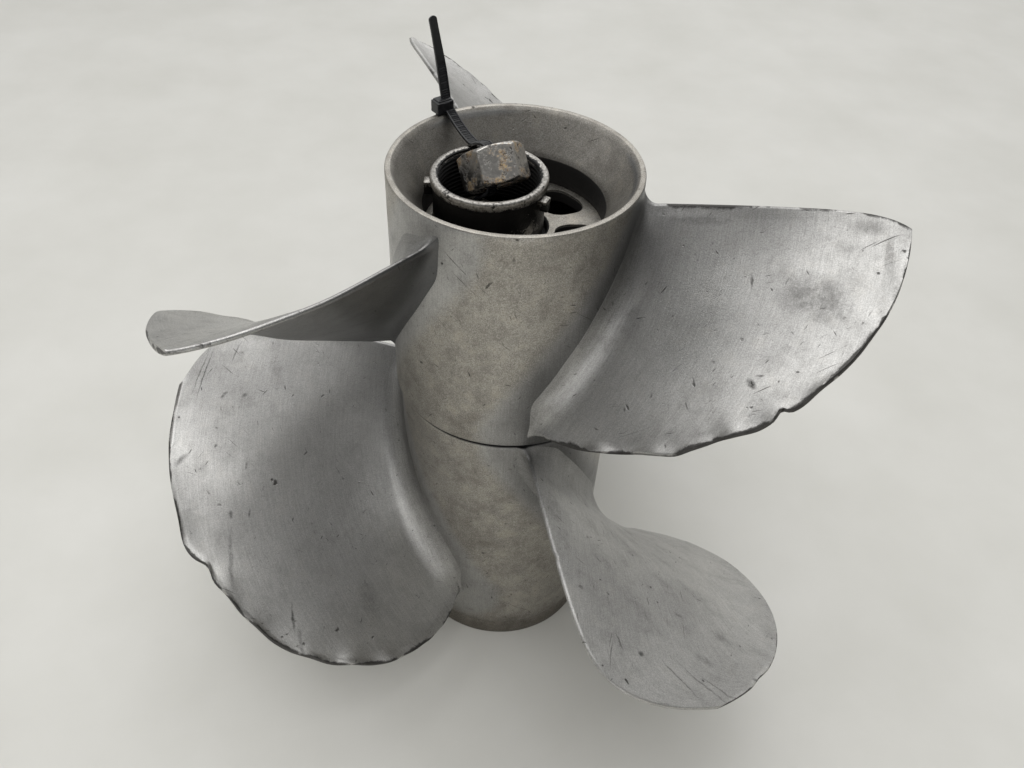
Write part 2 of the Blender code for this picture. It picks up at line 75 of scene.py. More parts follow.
# Quads of a grid of rows by columns, closed along either way if asked
def gridFaces(rows, columns, closeRows=False, closeColumns=False, flip=False, start=0):
    i = np.arange(rows if closeRows else rows - 1)[:, None]
    k = np.arange(columns if closeColumns else columns - 1)[None]
    a = i * columns + k
    b = i * columns + (k + 1) % columns
    c = ((i + 1) % rows) * columns + (k + 1) % columns
    d = ((i + 1) % rows) * columns + k
    quads = np.stack([a, b, c, d], -1).reshape(-1, 4) + start
    return quads[:, ::-1] if flip else quads


# Triangles from a grid's first and last rows to two middle points, numbered straight after the grid
def capFaces(rows, columns, flip=False):
    k = np.arange(columns)
    following = (k + 1) % columns
    base, last = rows * columns, (rows - 1) * columns
    lower = np.stack([following, k, np.full(columns, base)], -1)
    upper = np.stack([last + k, last + following, np.full(columns, base + 1)], -1)
    return [lower[:, ::-1], upper[:, ::-1]] if flip else [lower, upper]


# A mesh from points and face arrays; values are per point, grind holds two surface lengths per point,
# wrap is added to the first length on faces that close the ring
def makeMesh(name, points, faces, sharp=None, values=None, grind=None, wrap=None, place=None):
    mesh = bpy.data.meshes.new(name)
    points = np.asarray(points, dtype=np.float32).reshape(-1, 3)
    mesh.vertices.add(len(points))
    mesh.vertices.foreach_set("co", points.ravel())
    loops = np.concatenate([f.ravel() for f in faces]).astype(np.int32)
    sizes = np.concatenate([np.full(len(f), f.shape[1]) for f in faces]).astype(np.int32)
    mesh.loops.add(len(loops))
    mesh.loops.foreach_set("vertex_index", loops)
    mesh.polygons.add(len(sizes))
    mesh.polygons.foreach_set("loop_start", np.concatenate([[0], np.cumsum(sizes)[:-1]]).astype(np.int32))
    mesh.update(calc_edges=True)
    for key, value in (values or {}).items():
        layer = mesh.attributes.new(key, "FLOAT", "POINT")
        layer.data.foreach_set("value", np.asarray(value, dtype=np.float32).ravel())
    if grind is not None:
        layer = mesh.uv_layers.new(name="grind")
        uv = np.asarray(grind, dtype=np.float32).reshape(-1, 2)[loops]
        if wrap is not None:
            perRow, total = wrap
            owner = np.repeat(np.arange(len(sizes)), sizes)
            closing = (owner >= len(sizes) - perRow) & (loops < perRow)
            uv[closing, 0] += total
        layer.data.foreach_set("uv", uv.ravel())
    if place is not None:
        layer = mesh.uv_layers.new(name="place")
        layer.data.foreach_set("uv", np.asarray(place, dtype=np.float32).reshape(-1, 2)[loops].ravel())
    mesh.shade_smooth()
    if sharp:
        mesh.set_sharp_from_angle(angle=math.radians(sharp))
    return mesh


# A finished piece: its object at the origin, riding on a body, standing for a node
def makePiece(name, mesh, body, node, material):
    piece = bpy.data.objects.new(name, mesh)
    bpy.context.scene.collection.objects.link(piece)
    mesh.materials.append(material)
    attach(piece, body)
    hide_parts(node)
    return piece


# A soft irregular surface, about 1 high: a sum of repeatable sine waves in two directions
def ripple(x, y, seed, waves=9, low=1.0, high=5.0):
    rng = np.random.default_rng(seed)
    total = np.zeros(np.broadcast(x, y).shape)
    for _ in range(waves):
        size, way, shift = rng.uniform(low, high), rng.uniform(0, 2 * math.pi), rng.uniform(0, 6.3)
        total = total + np.sin(size * (x * math.cos(way) + y * math.sin(way)) + shift)
    return total / waves ** 0.5


# Smooth step from 0 at a to 1 at b
def smoothStep(x, a, b):
    t = np.clip((x - a) / (b - a), 0, 1)
    return t * t * (3 - 2 * t)


# An object placed by its three axes and its place
def placeObject(holder, right, up, back, place):
    pose = np.eye(4)
    pose[:3, 0], pose[:3, 1], pose[:3, 2], pose[:3, 3] = right, up, back, place
    holder.matrix_world = Matrix(pose.tolist())
    bpy.context.scene.collection.objects.link(holder)


print("stage: camera, light and floor")
view = dict(place=(0.002871, -0.349006, 0.480368), pitch=43.174, roll=-2.777, lens=931 / 1024 * 36)
pitch, roll = math.radians(view["pitch"]), math.radians(view["roll"])
ahead = np.array([0, math.cos(pitch), -math.sin(pitch)])
level = np.array([1.0, 0, 0])
sunk = np.array([0, -math.sin(pitch), -math.cos(pitch)])
right, down = math.cos(roll) * level + math.sin(roll) * sunk, -math.sin(roll) * level + math.cos(roll) * sunk
camera = bpy.data.objects.new("camera", bpy.data.cameras.new("camera"))
camera.data.lens = view["lens"]
camera.data.sensor_width = 36
camera.data.clip_start = 0.01
placeObject(camera, right, -down, -ahead, view["place"])
bpy.context.scene.camera = camera
bpy.context.scene.view_settings.view_transform = "Standard"

# Area lights: a broad one overhead, weak ones at the left, behind and low in front, and a fill for the floor
# alone, which metal doesn't mirror. The low one in front draws the bright lines along the root fillets
lights = dict(
    overhead=dict(place=(-0.30, 0.35, 1.7), aim=(0, 0, 0.15), size=(2.0, 1.6), power=12.2, shines=True),
    left=dict(place=(-1.5, 0.2, 0.9), aim=(0, 0, 0.15), size=(0.7, 0.9), power=1.6, shines=True),
    behind=dict(place=(0.5, 1.6, 0.8), aim=(0, 0, 0.15), size=(1.2, 0.5), power=2.5, shines=True),
    front=dict(place=(0.0, -1.6, 0.38), aim=(0, 0, 0.2), size=(1.1, 0.3), power=3.0, shines=True),
    fill=dict(place=(0.1, -1.1, 1.5), aim=(0, 0, 0.0), size=(1.6, 1.2), power=10.0, shines=False,
              colour="#fffefc"),
)
for name, value in lights.items():
    lamp = bpy.data.lights.new(name, "AREA")
    lamp.shape = "RECTANGLE"
    lamp.size, lamp.size_y = value["size"]
    lamp.energy = value["power"]
    lamp.color = hexColour(value.get("colour", "#ffffff"))[:3]
    holder = bpy.data.objects.new(name, lamp)
    holder.visible_glossy = value["shines"]
    back = np.array(value["place"]) - np.array(value["aim"])
    back = back / np.linalg.norm(back)
    side = np.cross([0, 0, 1.0], back)
    side = side / np.linalg.norm(side)
    placeObject(holder, side, np.cross(back, side), back, value["place"])

# Studio round the piece: bright overhead, pale behind and at the left, dark where the camera stands
studio = dict(dark=0.17, pale=0.42, bright=0.98, colour="#fffffe")
world = bpy.data.worlds.new("studio")
world.use_nodes = True
bpy.context.scene.world = world
tree = world.node_tree
tree.nodes.clear()
way = addNode(tree, "TexCoord", (), "Generated")
wayX, wayY, wayZ = [addNode(tree, "SeparateXYZ", (way,), axis) for axis in "XYZ"]
tilted = addNode(tree, "Math", (wayY, 0.5, wayZ), operation="MULTIPLY_ADD")
above = addNode(tree, "MapRange", (tilted, 0.55, 1.0), interpolation_type="SMOOTHSTEP")
depth = addNode(tree, "Math", (wayY, 0.95), operation="MULTIPLY")
behind = addNode(tree, "Math", (wayX, -0.25, depth), operation="MULTIPLY_ADD")
horizon = addNode(tree, "MapRange", (behind, -0.6, 0.8, studio["dark"], studio["pale"]))
strength = addNode(tree, "MapRange", (above, 0.0, 1.0, horizon, studio["bright"]))
backdrop = addNode(tree, "Background", (studio["colour"], strength))
addNode(tree, "OutputWorld", (backdrop,))


# A material by its name, with its tree, its shader and the piece's own coordinates
def newMaterial(name):
    mat = bpy.data.materials.new(name)
    mat.use_nodes = True
    tree = mat.node_tree
    return mat, tree, tree.nodes["Principled BSDF"], addNode(tree, "TexCoord", (), "Object")


# Pale floor, lightly mottled
def floorMaterial():
    mat, tree, shader, where = newMaterial("paleFloor")
    mottle = addNode(tree, "TexNoise", dict(Vector=where, Scale=9.0, Detail=5.0, Roughness=0.55))
    cloud = addNode(tree, "MapRange", (mottle, 0.3, 0.7))
    colour = addNode(tree, "Mix", {0: cloud, 6: "#c6c5bf", 7: "#cfcec9"}, 2, data_type="RGBA")
    tree.links.new(colour, shader.inputs["Base Color"])
    shader.inputs["Roughness"].default_value = 0.6
    return mat


floorMesh = makeMesh("floor", [(-4, -3, 0), (4, -3, 0), (4, 6, 0), (-4, 6, 0)], [np.array([[0, 1, 2, 3]])])
floorMesh.materials.append(floorMaterial())
floor = bpy.data.objects.new("floor", floorMesh)
bpy.context.scene.collection.objects.link(floor)

print("stage: materials")


# Cast stainless steel in two finishes, mixed by the piece's ground value: the sandy warm skin of the casting,
# and the cooler, smoother metal that a grinder leaves. Over both lie dull clouds, short nicks and scratches,
# bruised dark edges, black soot on the inner walls, and painted shade: by the root fillets, at the foot and in
# its groove, with a painted black shadow in the running gap. Nicks, smudges and some broad patches of painted
# shade are placed one by one on a blade's own map of radius and depth
def castSteel(name, values, marks=()):
    mat, tree, shader, where = newMaterial(name)
    along = addNode(tree, "UVMap", uv_map="grind")
    place = addNode(tree, "UVMap", uv_map="place")
    height = addNode(tree, "SeparateXYZ", (where,), "Z")
    nearRoot, paintedShade, aft, edge, soot = [addNode(tree, "Attribute", (), "Fac", attribute_name=key)
                                        for key in ("ground", "paintedShade", "aft", "edge", "soot")]
    cloud, blotch, grain, stain, speck, speckPatch, ragged, edgePatch, chip, crush, hollow = [
        addNode(tree, "TexNoise", dict(Vector=where, Scale=scale, Detail=detail, Roughness=rough))
        for scale, detail, rough in values["patterns"].values()]
    # The grinder's reach is uneven by half a blotch
    spread = addNode(tree, "Math", (blotch, 0.5), operation="SUBTRACT")
    reached = addNode(tree, "Math", (spread, 0.5, nearRoot), operation="MULTIPLY_ADD")
    ground = addNode(tree, "MapRange", (reached, 0.25, 0.75))
    cast, bare = values["cast"], values["ground"]
    tone = addNode(tree, "MapRange", (cloud, 0.34, 0.64))
    castColour, bareColour = [
        addNode(tree, "Mix", {0: tone, 6: finish["dark"], 7: finish["light"]}, 2, data_type="RGBA")
        for finish in (cast, bare)]
    colour = addNode(tree, "Mix", {0: ground, 6: castColour, 7: bareColour}, 2, data_type="RGBA")
    # Sandy skin: dark flecks and light sparks about half a millimetre across
    fleck = addNode(tree, "MapRange", (grain, 0.44, 0.74))
    fleckMost = addNode(tree, "MapRange", (ground, 0, 1, cast["fleck"], bare["fleck"]))
    spark = addNode(tree, "MapRange", (grain, 0.46, 0.32))
    sparkMost = addNode(tree, "MapRange", (ground, 0, 1, cast["spark"], bare["spark"]))
    # Tan and grey stains a few millimetres across, mostly on the sandy skin
    skin = addNode(tree, "MapRange", (ground, 0, 1, 1.0, 0.25))
    grey = addNode(tree, "MapRange", (stain, 0.50, 0.64, 0.0, 0.34))
    tan = addNode(tree, "MapRange", (stain, 0.47, 0.36, 0.0, 0.22))
    # Grinding marks: noise drawn out along the surface, under a millimetre apart
    swept = addNode(tree, "Mapping", dict(
        Vector=along, Rotation=(0, 0, math.radians(values["brushTurn"])),
        Scale=[1 / s for s in values["brushScale"]]), vector_type="TEXTURE")
    brush = addNode(tree, "TexNoise", dict(Vector=swept, Scale=1.0, Detail=4.0, Roughness=0.75))
    streak = addNode(tree, "MapRange", (brush, 0.38, 0.62))
    streakMost = addNode(tree, "MapRange", (ground, 0, 1, 0.06, 0.2))
    # Dull clouds that take the glare off
    dull = addNode(tree, "MapRange", (blotch, 0.50, 0.68, 0.0, values["dull"]))
    # Nicks and scratches: drawn-out noise in several directions, cut to its rarest peaks
    lines = None
    for turn, wide, long, seed in values["scratches"]:
        drawn = addNode(tree, "Mapping", dict(
            Vector=along, Location=(seed, seed, 0), Rotation=(0, 0, math.radians(turn)),
            Scale=(1 / wide, 1 / long, 1.0)), vector_type="TEXTURE")
        thin = addNode(tree, "TexNoise", dict(Vector=drawn, Scale=1.0, Detail=1.0, Roughness=0.5))
        patch = addNode(tree, "TexNoise", dict(
            Vector=where, Scale=35.0 + 7 * seed, Detail=2.0, Roughness=0.55))
        keep = addNode(tree, "MapRange", (patch, 0.50, 0.58))
        peak = addNode(tree, "MapRange", (thin, 0.71, 0.77))
        line = addNode(tree, "Math", (peak, keep), operation="MULTIPLY")
        lines = line if lines is None else addNode(tree, "Math", (lines, line), operation="MAXIMUM")
    # Pits about a millimetre across, in loose groups
    deep = addNode(tree, "MapRange", (speck, 0.72, 0.78))
    loose = addNode(tree, "MapRange", (speckPatch, 0.5, 0.6))
    pit = addNode(tree, "Math", (deep, loose), operation="MULTIPLY")
    colour = layColours(tree, colour, [
        ((fleck, fleckMost), "#3f3c38"), ((spark, sparkMost), "#f1efeb"), ((grey, skin), "#6f6860"),
        ((tan, skin), "#d8cfbf"), ((streak, streakMost), "#5a5855"),
        ((paintedShade,), "#3f4042"),  # painted shade along the root fillets, the rear blades' aft edges, one fore side and inside the aft cone
        ((dull,), "#72706d"), ((lines, values["scratch"]), "#2b2927"), ((pit, 0.8), "#2b2825")])
    # Placed marks: (radius, depth) in hub radii, turn, length and width in mm, darkness. Noise shakes their
    # outlines by a millimetre and frays them inside
    wobble = 1.1 * mm
    shake = addNode(tree, "TexNoise", dict(Vector=where, Scale=160.0), "Color")
    shaky = addNode(tree, "VectorMath", (shake, (2 * wobble, 2 * wobble, 0.0), place),
                    operation="MULTIPLY_ADD")
    rag = addNode(tree, "MapRange", (ragged, 0.35, 0.6, 0.35, 1.0))
    for u, d, turn, long, wide, dark in marks:
        middle = (u * hub + wobble, 1.5 * d * hub + wobble, 0.0)
        moved = addNode(tree, "VectorMath", (shaky, middle), operation="SUBTRACT")
        oval = addNode(tree, "Mapping", dict(
            Vector=moved, Rotation=(0, 0, math.radians(turn)),
            Scale=(0.5 * mm * long, 0.5 * mm * wide, 1.0)), vector_type="TEXTURE")
        reach = addNode(tree, "VectorMath", (oval,), "Value", operation="LENGTH")
        inside = addNode(tree, "MapRange", (reach, 0.35, 1.0, dark, 0.0))
        colour = layColours(tree, colour, [((inside, rag, aft), "#262422")])
    # Bruised edges, from the piece's own edge value
    patches = addNode(tree, "MapRange", (edgePatch, 0.36, 0.62, 0.25, 1.45))
    patchy = addNode(tree, "Math", (edge, patches), operation="MULTIPLY")
    chipped = addNode(tree, "Math", (chip, 0.8, patchy), operation="MULTIPLY_ADD")
    broken = addNode(tree, "MapRange", (chipped, 0.78, 0.98))
    rim = addNode(tree, "MapRange", (edge, 0.05, 0.22))
    bruise = addNode(tree, "Math", (broken, rim), operation="MULTIPLY")
    # Painted shade at the foot and in its groove, and a painted black shadow in the running gap between the
    # hubs
    fromFoot = addNode(tree, "Math", (blotch, -0.02, height), operation="MULTIPLY_ADD")
    foot = addNode(tree, "MapRange", (fromFoot, -0.004, 0.014, 0.55, 0.0))
    strips = []
    for middle, clean, dirty, most in ((0.0117, 0.0004, 0.0010, 0.7), (0.1636, 0.0014, 0.0021, 1.0)):
        off = addNode(tree, "Math", (height, middle), operation="SUBTRACT")
        off = addNode(tree, "Math", (off,), operation="ABSOLUTE")
        strips.append(addNode(tree, "MapRange", (off, clean, dirty, most, 0.0)))
    groove, gap = strips
    dirtAndShade = addNode(tree, "Math", (foot, groove), operation="MAXIMUM")
    black = addNode(tree, "Mix", {0: blotch, 6: "#0c0b0b", 7: "#1d1b19"}, 2, data_type="RGBA")
    # 4a4238 is painted shade at the foot and in the groove; #060606 is a painted shadow in the running gap
    colour = layColours(tree, colour, [((bruise, 0.85), "#33312f"), ((dirtAndShade,), "#4a4238"), ((gap,), "#060606"),
                                       ((soot,), black)])
    tree.links.new(colour, shader.inputs["Base Color"])
    # Soot and the painted shadow in the gap aren't metal; dullness, soot, that shadow and bruises add to the
    # roughness
    cover = addNode(tree, "Math", (soot, gap), operation="MAXIMUM")
    tree.links.new(addNode(tree, "MapRange", (cover, 0.0, 1.0, 1.0, 0.0)), shader.inputs["Metallic"])
    castRough, bareRough = [addNode(tree, "MapRange", (cloud, 0.3, 0.7, *finish["rough"][::-1]))
                            for finish in (cast, bare)]
    rough = addNode(tree, "Mix", {0: ground, 2: castRough, 3: bareRough})
    for share, most in ((dull, 0.35), (cover, 0.25), (bruise, 0.1)):
        rough = addNode(tree, "Math", (share, most, rough), operation="MULTIPLY_ADD")
    tree.links.new(rough, shader.inputs["Roughness"])
    # Relief: grain, pits and scratches cut in, brushing, and crushed metal along the edges
    brushed = addNode(tree, "Math", (brush, ground), operation="MULTIPLY")
    crushed = addNode(tree, "Math", (bruise, crush), operation="MULTIPLY")
    relief = grain
    for share, most in ((pit, -2.0), (lines, -0.8), (brushed, values["brushDepth"]), (crushed, 3.0)):
        relief = addNode(tree, "Math", (share, most, relief), operation="MULTIPLY_ADD")
    bump = addNode(tree, "Bump", dict(Height=relief, Strength=values["bump"], Distance=0.1 * mm))
    dimple = addNode(tree, "Bump", dict(
        Height=hollow, Strength=values["dimple"], Distance=1 * mm, Normal=bump))
    tree.links.new(dimple, shader.inputs["Normal"])
    return mat


# Patterns as features per metre, detail and roughness: 15 is a cloud 67 mm across, 1900 a half-millimetre
# grain, drawn a little coarser than the real sand skin so that it shows. Scratches as turn, marks per metre
# across and along, and seed; roughness from the shiny to the dull end
steel = dict(
    patterns=dict(cloud=(15.0, 6.0, 0.62), blotch=(75.0, 5.0, 0.68), grain=(1900.0, 3.0, 0.8),
                  stain=(110.0, 6.0, 0.7), speck=(300.0, 1.0, 0.55), speckPatch=(41.0, 2.0, 0.55),
                  ragged=(420.0, 4.0, 0.75), edgePatch=(55.0, 3.0, 0.55), chip=(260.0, 5.0, 0.75),
                  crush=(500.0, 4.0, 0.55), hollow=(85.0, 3.0, 0.55)),
    dull=0.24, brushScale=(1300.0, 60.0, 1.0), brushTurn=0, brushDepth=0.7, bump=0.8, dimple=0.06,
    scratch=0.7,
    scratches=((20, 800.0, 150.0, 3.0), (-38, 700.0, 130.0, 9.0), (75, 900.0, 120.0, 5.0),
               (50, 1000.0, 30.0, 2.0)),
    cast=dict(light="#bdb9b1", dark="#a5a199", fleck=0.70, spark=0.30, rough=(0.40, 0.52)),
    ground=dict(light="#cbcac7", dark="#b2b1af", fleck=0.45, spark=0.22, rough=(0.35, 0.45)))
# Marks that show on the three near blades: radius and depth in hub radii, turn, length, width, darkness
# The broad soft marks at (0.45, 0.09), (1.66, 0.07) and (0.20, 0.75) are painted shade along the trailing edge
# and by the root
rightMarks = (
    (1.23, 0.85, 20, 7, 3, 0.9), (1.26, 0.80, -30, 5, 1.4, 0.9), (0.93, 0.39, 75, 9, 1.2, 0.8),
    (0.90, 0.83, 10, 3, 1.2, 0.7), (0.61, 1.12, 70, 4, 1.3, 0.7), (0.41, 1.44, 20, 3, 1.3, 0.7),
    (0.50, 1.26, 60, 3, 1.2, 0.6), (0.90, 1.09, 35, 5, 1.0, 0.7), (1.44, 0.39, 10, 36, 17, 0.42),
    (1.24, 0.44, 0, 20, 12, 0.32), (1.84, 0.16, 80, 14, 5, 0.45), (1.93, 0.28, 85, 8, 4, 0.5),
    (1.15, 1.18, 15, 16, 8, 0.35), (0.69, 1.48, 10, 14, 5, 0.35), (0.45, 0.09, 0, 30, 6, 0.25),
    (1.66, 0.07, 0, 20, 6, 0.35), (0.20, 0.75, 80, 26, 9, 0.22))
leftMarks = (
    (1.78, 0.46, 30, 5, 2, 0.7), (1.57, 0.46, 20, 4, 2, 0.7), (1.52, 0.83, 80, 4, 1.5, 0.7),
    (1.71, 1.04, 80, 4, 2.4, 0.75), (1.54, 1.07, 75, 5, 1.6, 0.8), (1.49, 1.65, 60, 14, 2.0, 0.75),
    (2.06, 0.36, 85, 24, 1.2, 0.7), (2.11, 0.36, 80, 20, 1.0, 0.6), (2.12, 0.73, 20, 9, 3.0, 0.6),
    (1.80, 1.23, 70, 26, 3.0, 0.45), (1.54, 1.76, 60, 18, 3.0, 0.4), (0.79, 1.84, 80, 34, 14, 0.28),
    (0.29, 1.05, 85, 40, 14, 0.15), (1.78, 0.25, 80, 12, 1.2, 0.6))
lowMarks = (
    (1.80, 0.39, 30, 3.5, 2.5, 0.8), (1.86, 0.86, 10, 12, 5, 0.35), (1.95, 0.67, 20, 12, 4, 0.32),
    (2.27, 0.80, 20, 4, 2, 0.8), (0.66, 0.15, 60, 8, 1.0, 0.6), (0.97, 0.38, 40, 5, 1.0, 0.6),
    (1.34, 0.61, -30, 6, 0.9, 0.6), (1.45, 1.01, 50, 4, 1.0, 0.5), (1.70, 0.30, 10, 9, 1.0, 0.6),
    (2.04, 0.50, 15, 26, 0.9, 0.55), (2.12, 0.58, 15, 30, 0.9, 0.5), (2.20, 0.63, 20, 22, 0.9, 0.5),
    (1.03, 0.21, 55, 7, 1.0, 0.5), (0.91, 0.97, 20, 3, 1.3, 0.5))
lowSteel = dict(steel, brushTurn=70, ground=dict(steel["ground"], rough=(0.44, 0.54)))
castStainless = castSteel("castStainlessSteel", steel)
bladeFinish = dict(rearBladeRight=castSteel("castStainlessRight", steel, rightMarks),
                   frontBladeLeft=castSteel("castStainlessLeft", steel, leftMarks),
                   frontBladeRight=castSteel("castStainlessLow", lowSteel, lowMarks))


# Black grease on turned steel: matt black, with bare bright metal where the piece's wear value lets it
# through
def greasySteel():
    mat, tree, shader, where = newMaterial("greasyRingSteel")
    wear = addNode(tree, "Attribute", (), "Fac", attribute_name="wear")
    cloud = addNode(tree, "TexNoise", dict(Vector=where, Scale=170.0, Detail=6.0, Roughness=0.7))
    fine = addNode(tree, "TexNoise", dict(Vector=where, Scale=900.0, Detail=4.0, Roughness=0.7))
    rubbed = addNode(tree, "Math", (fine, 0.60, cloud), operation="MULTIPLY_ADD")
    rubbed = addNode(tree, "Math", (rubbed, wear), operation="ADD")
    bare = addNode(tree, "MapRange", (rubbed, 1.02, 1.12))
    tone = addNode(tree, "MapRange", (fine, 0.35, 0.65))
    metal = addNode(tree, "Mix", {0: tone, 6: "#77746f", 7: "#b9b6b1"}, 2, data_type="RGBA")
    colour = addNode(tree, "Mix", {0: bare, 6: "#121110", 7: metal}, 2, data_type="RGBA")
    tree.links.new(colour, shader.inputs["Base Color"])
    tree.links.new(addNode(tree, "MapRange", (bare, 0.0, 1.0, 0.5, 1.0)), shader.inputs["Metallic"])
    tree.links.new(addNode(tree, "MapRange", (bare, 0.0, 1.0, 0.38, 0.34)), shader.inputs["Roughness"])
    relief = addNode(tree, "Math", (cloud, fine), operation="ADD")
    bump = addNode(tree, "Bump", dict(Height=relief, Strength=0.6, Distance=0.3 * mm))
    tree.links.new(bump, shader.inputs["Normal"])
    return mat


# Bare forged nut steel: grey, with tan and brown rust patches, black dirt in the hollows and by facet
def nutSteel():
    mat, tree, shader, where = newMaterial("wornNutSteel")
    grime = addNode(tree, "Attribute", (), "Fac", attribute_name="grime")
    moved = addNode(tree, "Mapping", dict(Vector=where, Location=(0.013, 0.02, 0.005)), vector_type="TEXTURE")
    cloud = addNode(tree, "TexNoise", dict(Vector=moved, Scale=130.0, Detail=6.0, Roughness=0.65))
    fine = addNode(tree, "TexNoise", dict(Vector=where, Scale=800.0, Detail=4.0, Roughness=0.7))
    speck = addNode(tree, "TexNoise", dict(Vector=where, Scale=1100.0, Detail=5.0, Roughness=0.8))
    dirtAndShade = addNode(tree, "TexNoise", dict(Vector=where, Scale=330.0, Detail=6.0, Roughness=0.78))
    tone = addNode(tree, "MapRange", (fine, 0.3, 0.7))
    colour = addNode(tree, "Mix", {0: tone, 6: "#a9a6a1", 7: "#d2cfca"}, 2, data_type="RGBA")
    patch = addNode(tree, "MapRange", (cloud, 0.50, 0.57))
    crumb = addNode(tree, "MapRange", (speck, 0.42, 0.52))
    rust = addNode(tree, "Math", (patch, crumb), operation="MULTIPLY")
    rustTone = addNode(tree, "MapRange", (fine, 0.4, 0.6))
    rustColour = addNode(tree, "Mix", {0: rustTone, 6: "#6b5340", 7: "#bfa67c"}, 2, data_type="RGBA")
    black = addNode(tree, "MapRange", (dirtAndShade, 0.53, 0.61))
    thick = addNode(tree, "MapRange", (cloud, 0.3, 0.6, 0.85, 0.4))
    colour = layColours(tree, colour, [((rust,), rustColour), ((black, 0.85), "#231f1c"),
                                       ((grime, thick), "#2a2725")])
    tree.links.new(colour, shader.inputs["Base Color"])
    rusty = addNode(tree, "Math", (rust, 0.7), operation="MULTIPLY")
    tree.links.new(addNode(tree, "Math", (1.0, rusty), operation="SUBTRACT"), shader.inputs["Metallic"])
    matt = addNode(tree, "Math", (rust, black), operation="ADD")
    tree.links.new(addNode(tree, "MapRange", (matt, 0.0, 1.0, 0.33, 0.62)), shader.inputs["Roughness"])
    sunken = addNode(tree, "Math", (black, -0.6), operation="MULTIPLY")
    relief = addNode(tree, "Math", (cloud, sunken), operation="ADD")
    bump = addNode(tree, "Bump", dict(Height=relief, Strength=0.6, Distance=0.4 * mm))
    tree.links.new(bump, shader.inputs["Normal"])
    return mat


# A plain base with a fine grain: moulded nylon, moulded rubber and machined sleeve steel
def grainedMaterial(name, values):
    mat, tree, shader, where = newMaterial(name)
    grain = addNode(tree, "TexNoise", dict(
        Vector=where, Scale=values["grainScale"], Detail=4.0, Roughness=0.55))
    tone = addNode(tree, "MapRange", (grain, 0.35, 0.65))
    colour = addNode(tree, "Mix", {0: tone, 6: values["dark"], 7: values["light"]}, 2, data_type="RGBA")
    tree.links.new(colour, shader.inputs["Base Color"])
    tree.links.new(addNode(tree, "MapRange", (grain, 0.3, 0.7, *values["rough"])), shader.inputs["Roughness"])
    shader.inputs["Metallic"].default_value = values["metal"]
    bump = addNode(tree, "Bump", dict(Height=grain, Strength=values["bump"], Distance=0.1 * mm))
    tree.links.new(bump, shader.inputs["Normal"])
    return mat


ringSteel = greasySteel()
hexSteel = nutSteel()
# Grain in features per metre: 1.4 mm on the nylon, 2.5 mm on the rubber, 2 mm on the sleeves
nylon = grainedMaterial("blackNylon", dict(
    grainScale=700.0, dark="#0c0d0f", light="#16171a", rough=(0.32, 0.48), metal=0.0, bump=0.25))
rubber = grainedMaterial("blackRubber", dict(
    grainScale=400.0, dark="#0e0e0e", light="#1b1a19", rough=(0.7, 0.85), metal=0.0, bump=0.5))
sleeveSteel = grainedMaterial("machinedSleeveSteel", dict(
    grainScale=500.0, dark="#57534d", light="#837d75", rough=(0.35, 0.5), metal=1.0, bump=0.4))
for end in ("front", "rear"):
    bpy.data.objects[end + "_rubber_bush"].material_slots[0].material = rubber
    bpy.data.objects[end + "_splined_sleeve"].material_slots[0].material = sleeveSteel

print("stage: blades")
rearFace = dict(
    hand=1, rim=1.0, start=353.27, sweep=(0.46, -0.11), pitch=(40.35, -15.98, 9.95), camber=(2.19, -2.13),
    datum=4.871, rake=(0.115, -0.018), wall=(1.0055, 1.0, 3.0, 5.08), floor=0.16495, ceiling=0.2795)
frontFace = dict(
    hand=-1, rim=0.972, start=162.93, sweep=(-0.43, -0.96), pitch=(37.88, -6.85, 3.86), camber=(0.97, 0.0),
    datum=2.901, rake=(0.035, -0.056), wall=(0.9255, 0.9691, 0.227, 2.836), floor=0.0, ceiling=0.1623)
bladeShape = dict(root=8.5 * mm, tip=3.0 * mm, edge=2.1 * mm, fillet=12.0 * mm, edgeFillet=6.5 * mm, rows=150,
                  filletRows=28, columns=124)
# Each blade's outline in hub radii: tip, drop, square and lean for the trailing edge; root, shape and tuck
# for the leading one. Wear is how bruised the two edges are, curl how uneven the leading one is, bead how far
# it is rolled up, under how much painted shade lies on the fore side. Dents: place as radius and depth, reach,
# push towards the middle, bend towards the aft side
rearBlades = dict(
    rearBladeRight=dict(
        turn=0, tip=2.985, drop=0.053, square=9.3, lean=0.0, root=1.705, shape=(-0.123, -0.091, -0.113),
        tuck=0.0, bend=0.0, twist=0.0, bow=0.0, wear=(0.7, 1.1), curl=0.0005, bead=0.6 * mm,
        dents=((1.552, 0.871, 0.035, 0.035, 0.0), (1.60, 0.80, 0.12, 0.0, -0.022),
               (1.44, 0.98, 0.12, 0.0, -0.026), (1.25, 1.15, 0.10, 0.02, -0.02),
               (1.05, 1.31, 0.10, -0.01, -0.018), (0.80, 1.46, 0.12, 0.015, -0.02),
               (0.55, 1.58, 0.09, 0.0, 0.012), (1.93, 0.25, 0.10, 0.0, -0.015))),
    rearBladeLeft=dict(
        turn=-120, tip=2.927, drop=0.22, square=1.5, lean=-0.1, root=1.83, shape=(0.185, -2.29, 2.258),
        tuck=0.0, bend=-0.004, twist=-0.38, bow=4.5, under=0.85, wear=(0.35, 0.6), curl=0.0003, bead=0.3 * mm,
        dents=((1.20, 1.10, 0.08, 0.03, 0.0), (1.80, 0.75, 0.10, 0.0, 0.02))),
    rearBladeBack=dict(
        turn=120, tip=2.734, drop=0.016, square=20.0, lean=0.0, root=1.927, shape=(-0.327, -0.921, 0.499),
        tuck=0.2, bend=-0.009, twist=0.143, bow=0.0, wear=(0.4, 1.0), curl=0.0004, bead=0.5 * mm,
        dents=((1.569, 0.276, 0.06, 0.04, 0.0), (1.45, 0.42, 0.07, -0.015, 0.0),
               (1.39, 0.476, 0.05, 0.02, 0.0))))
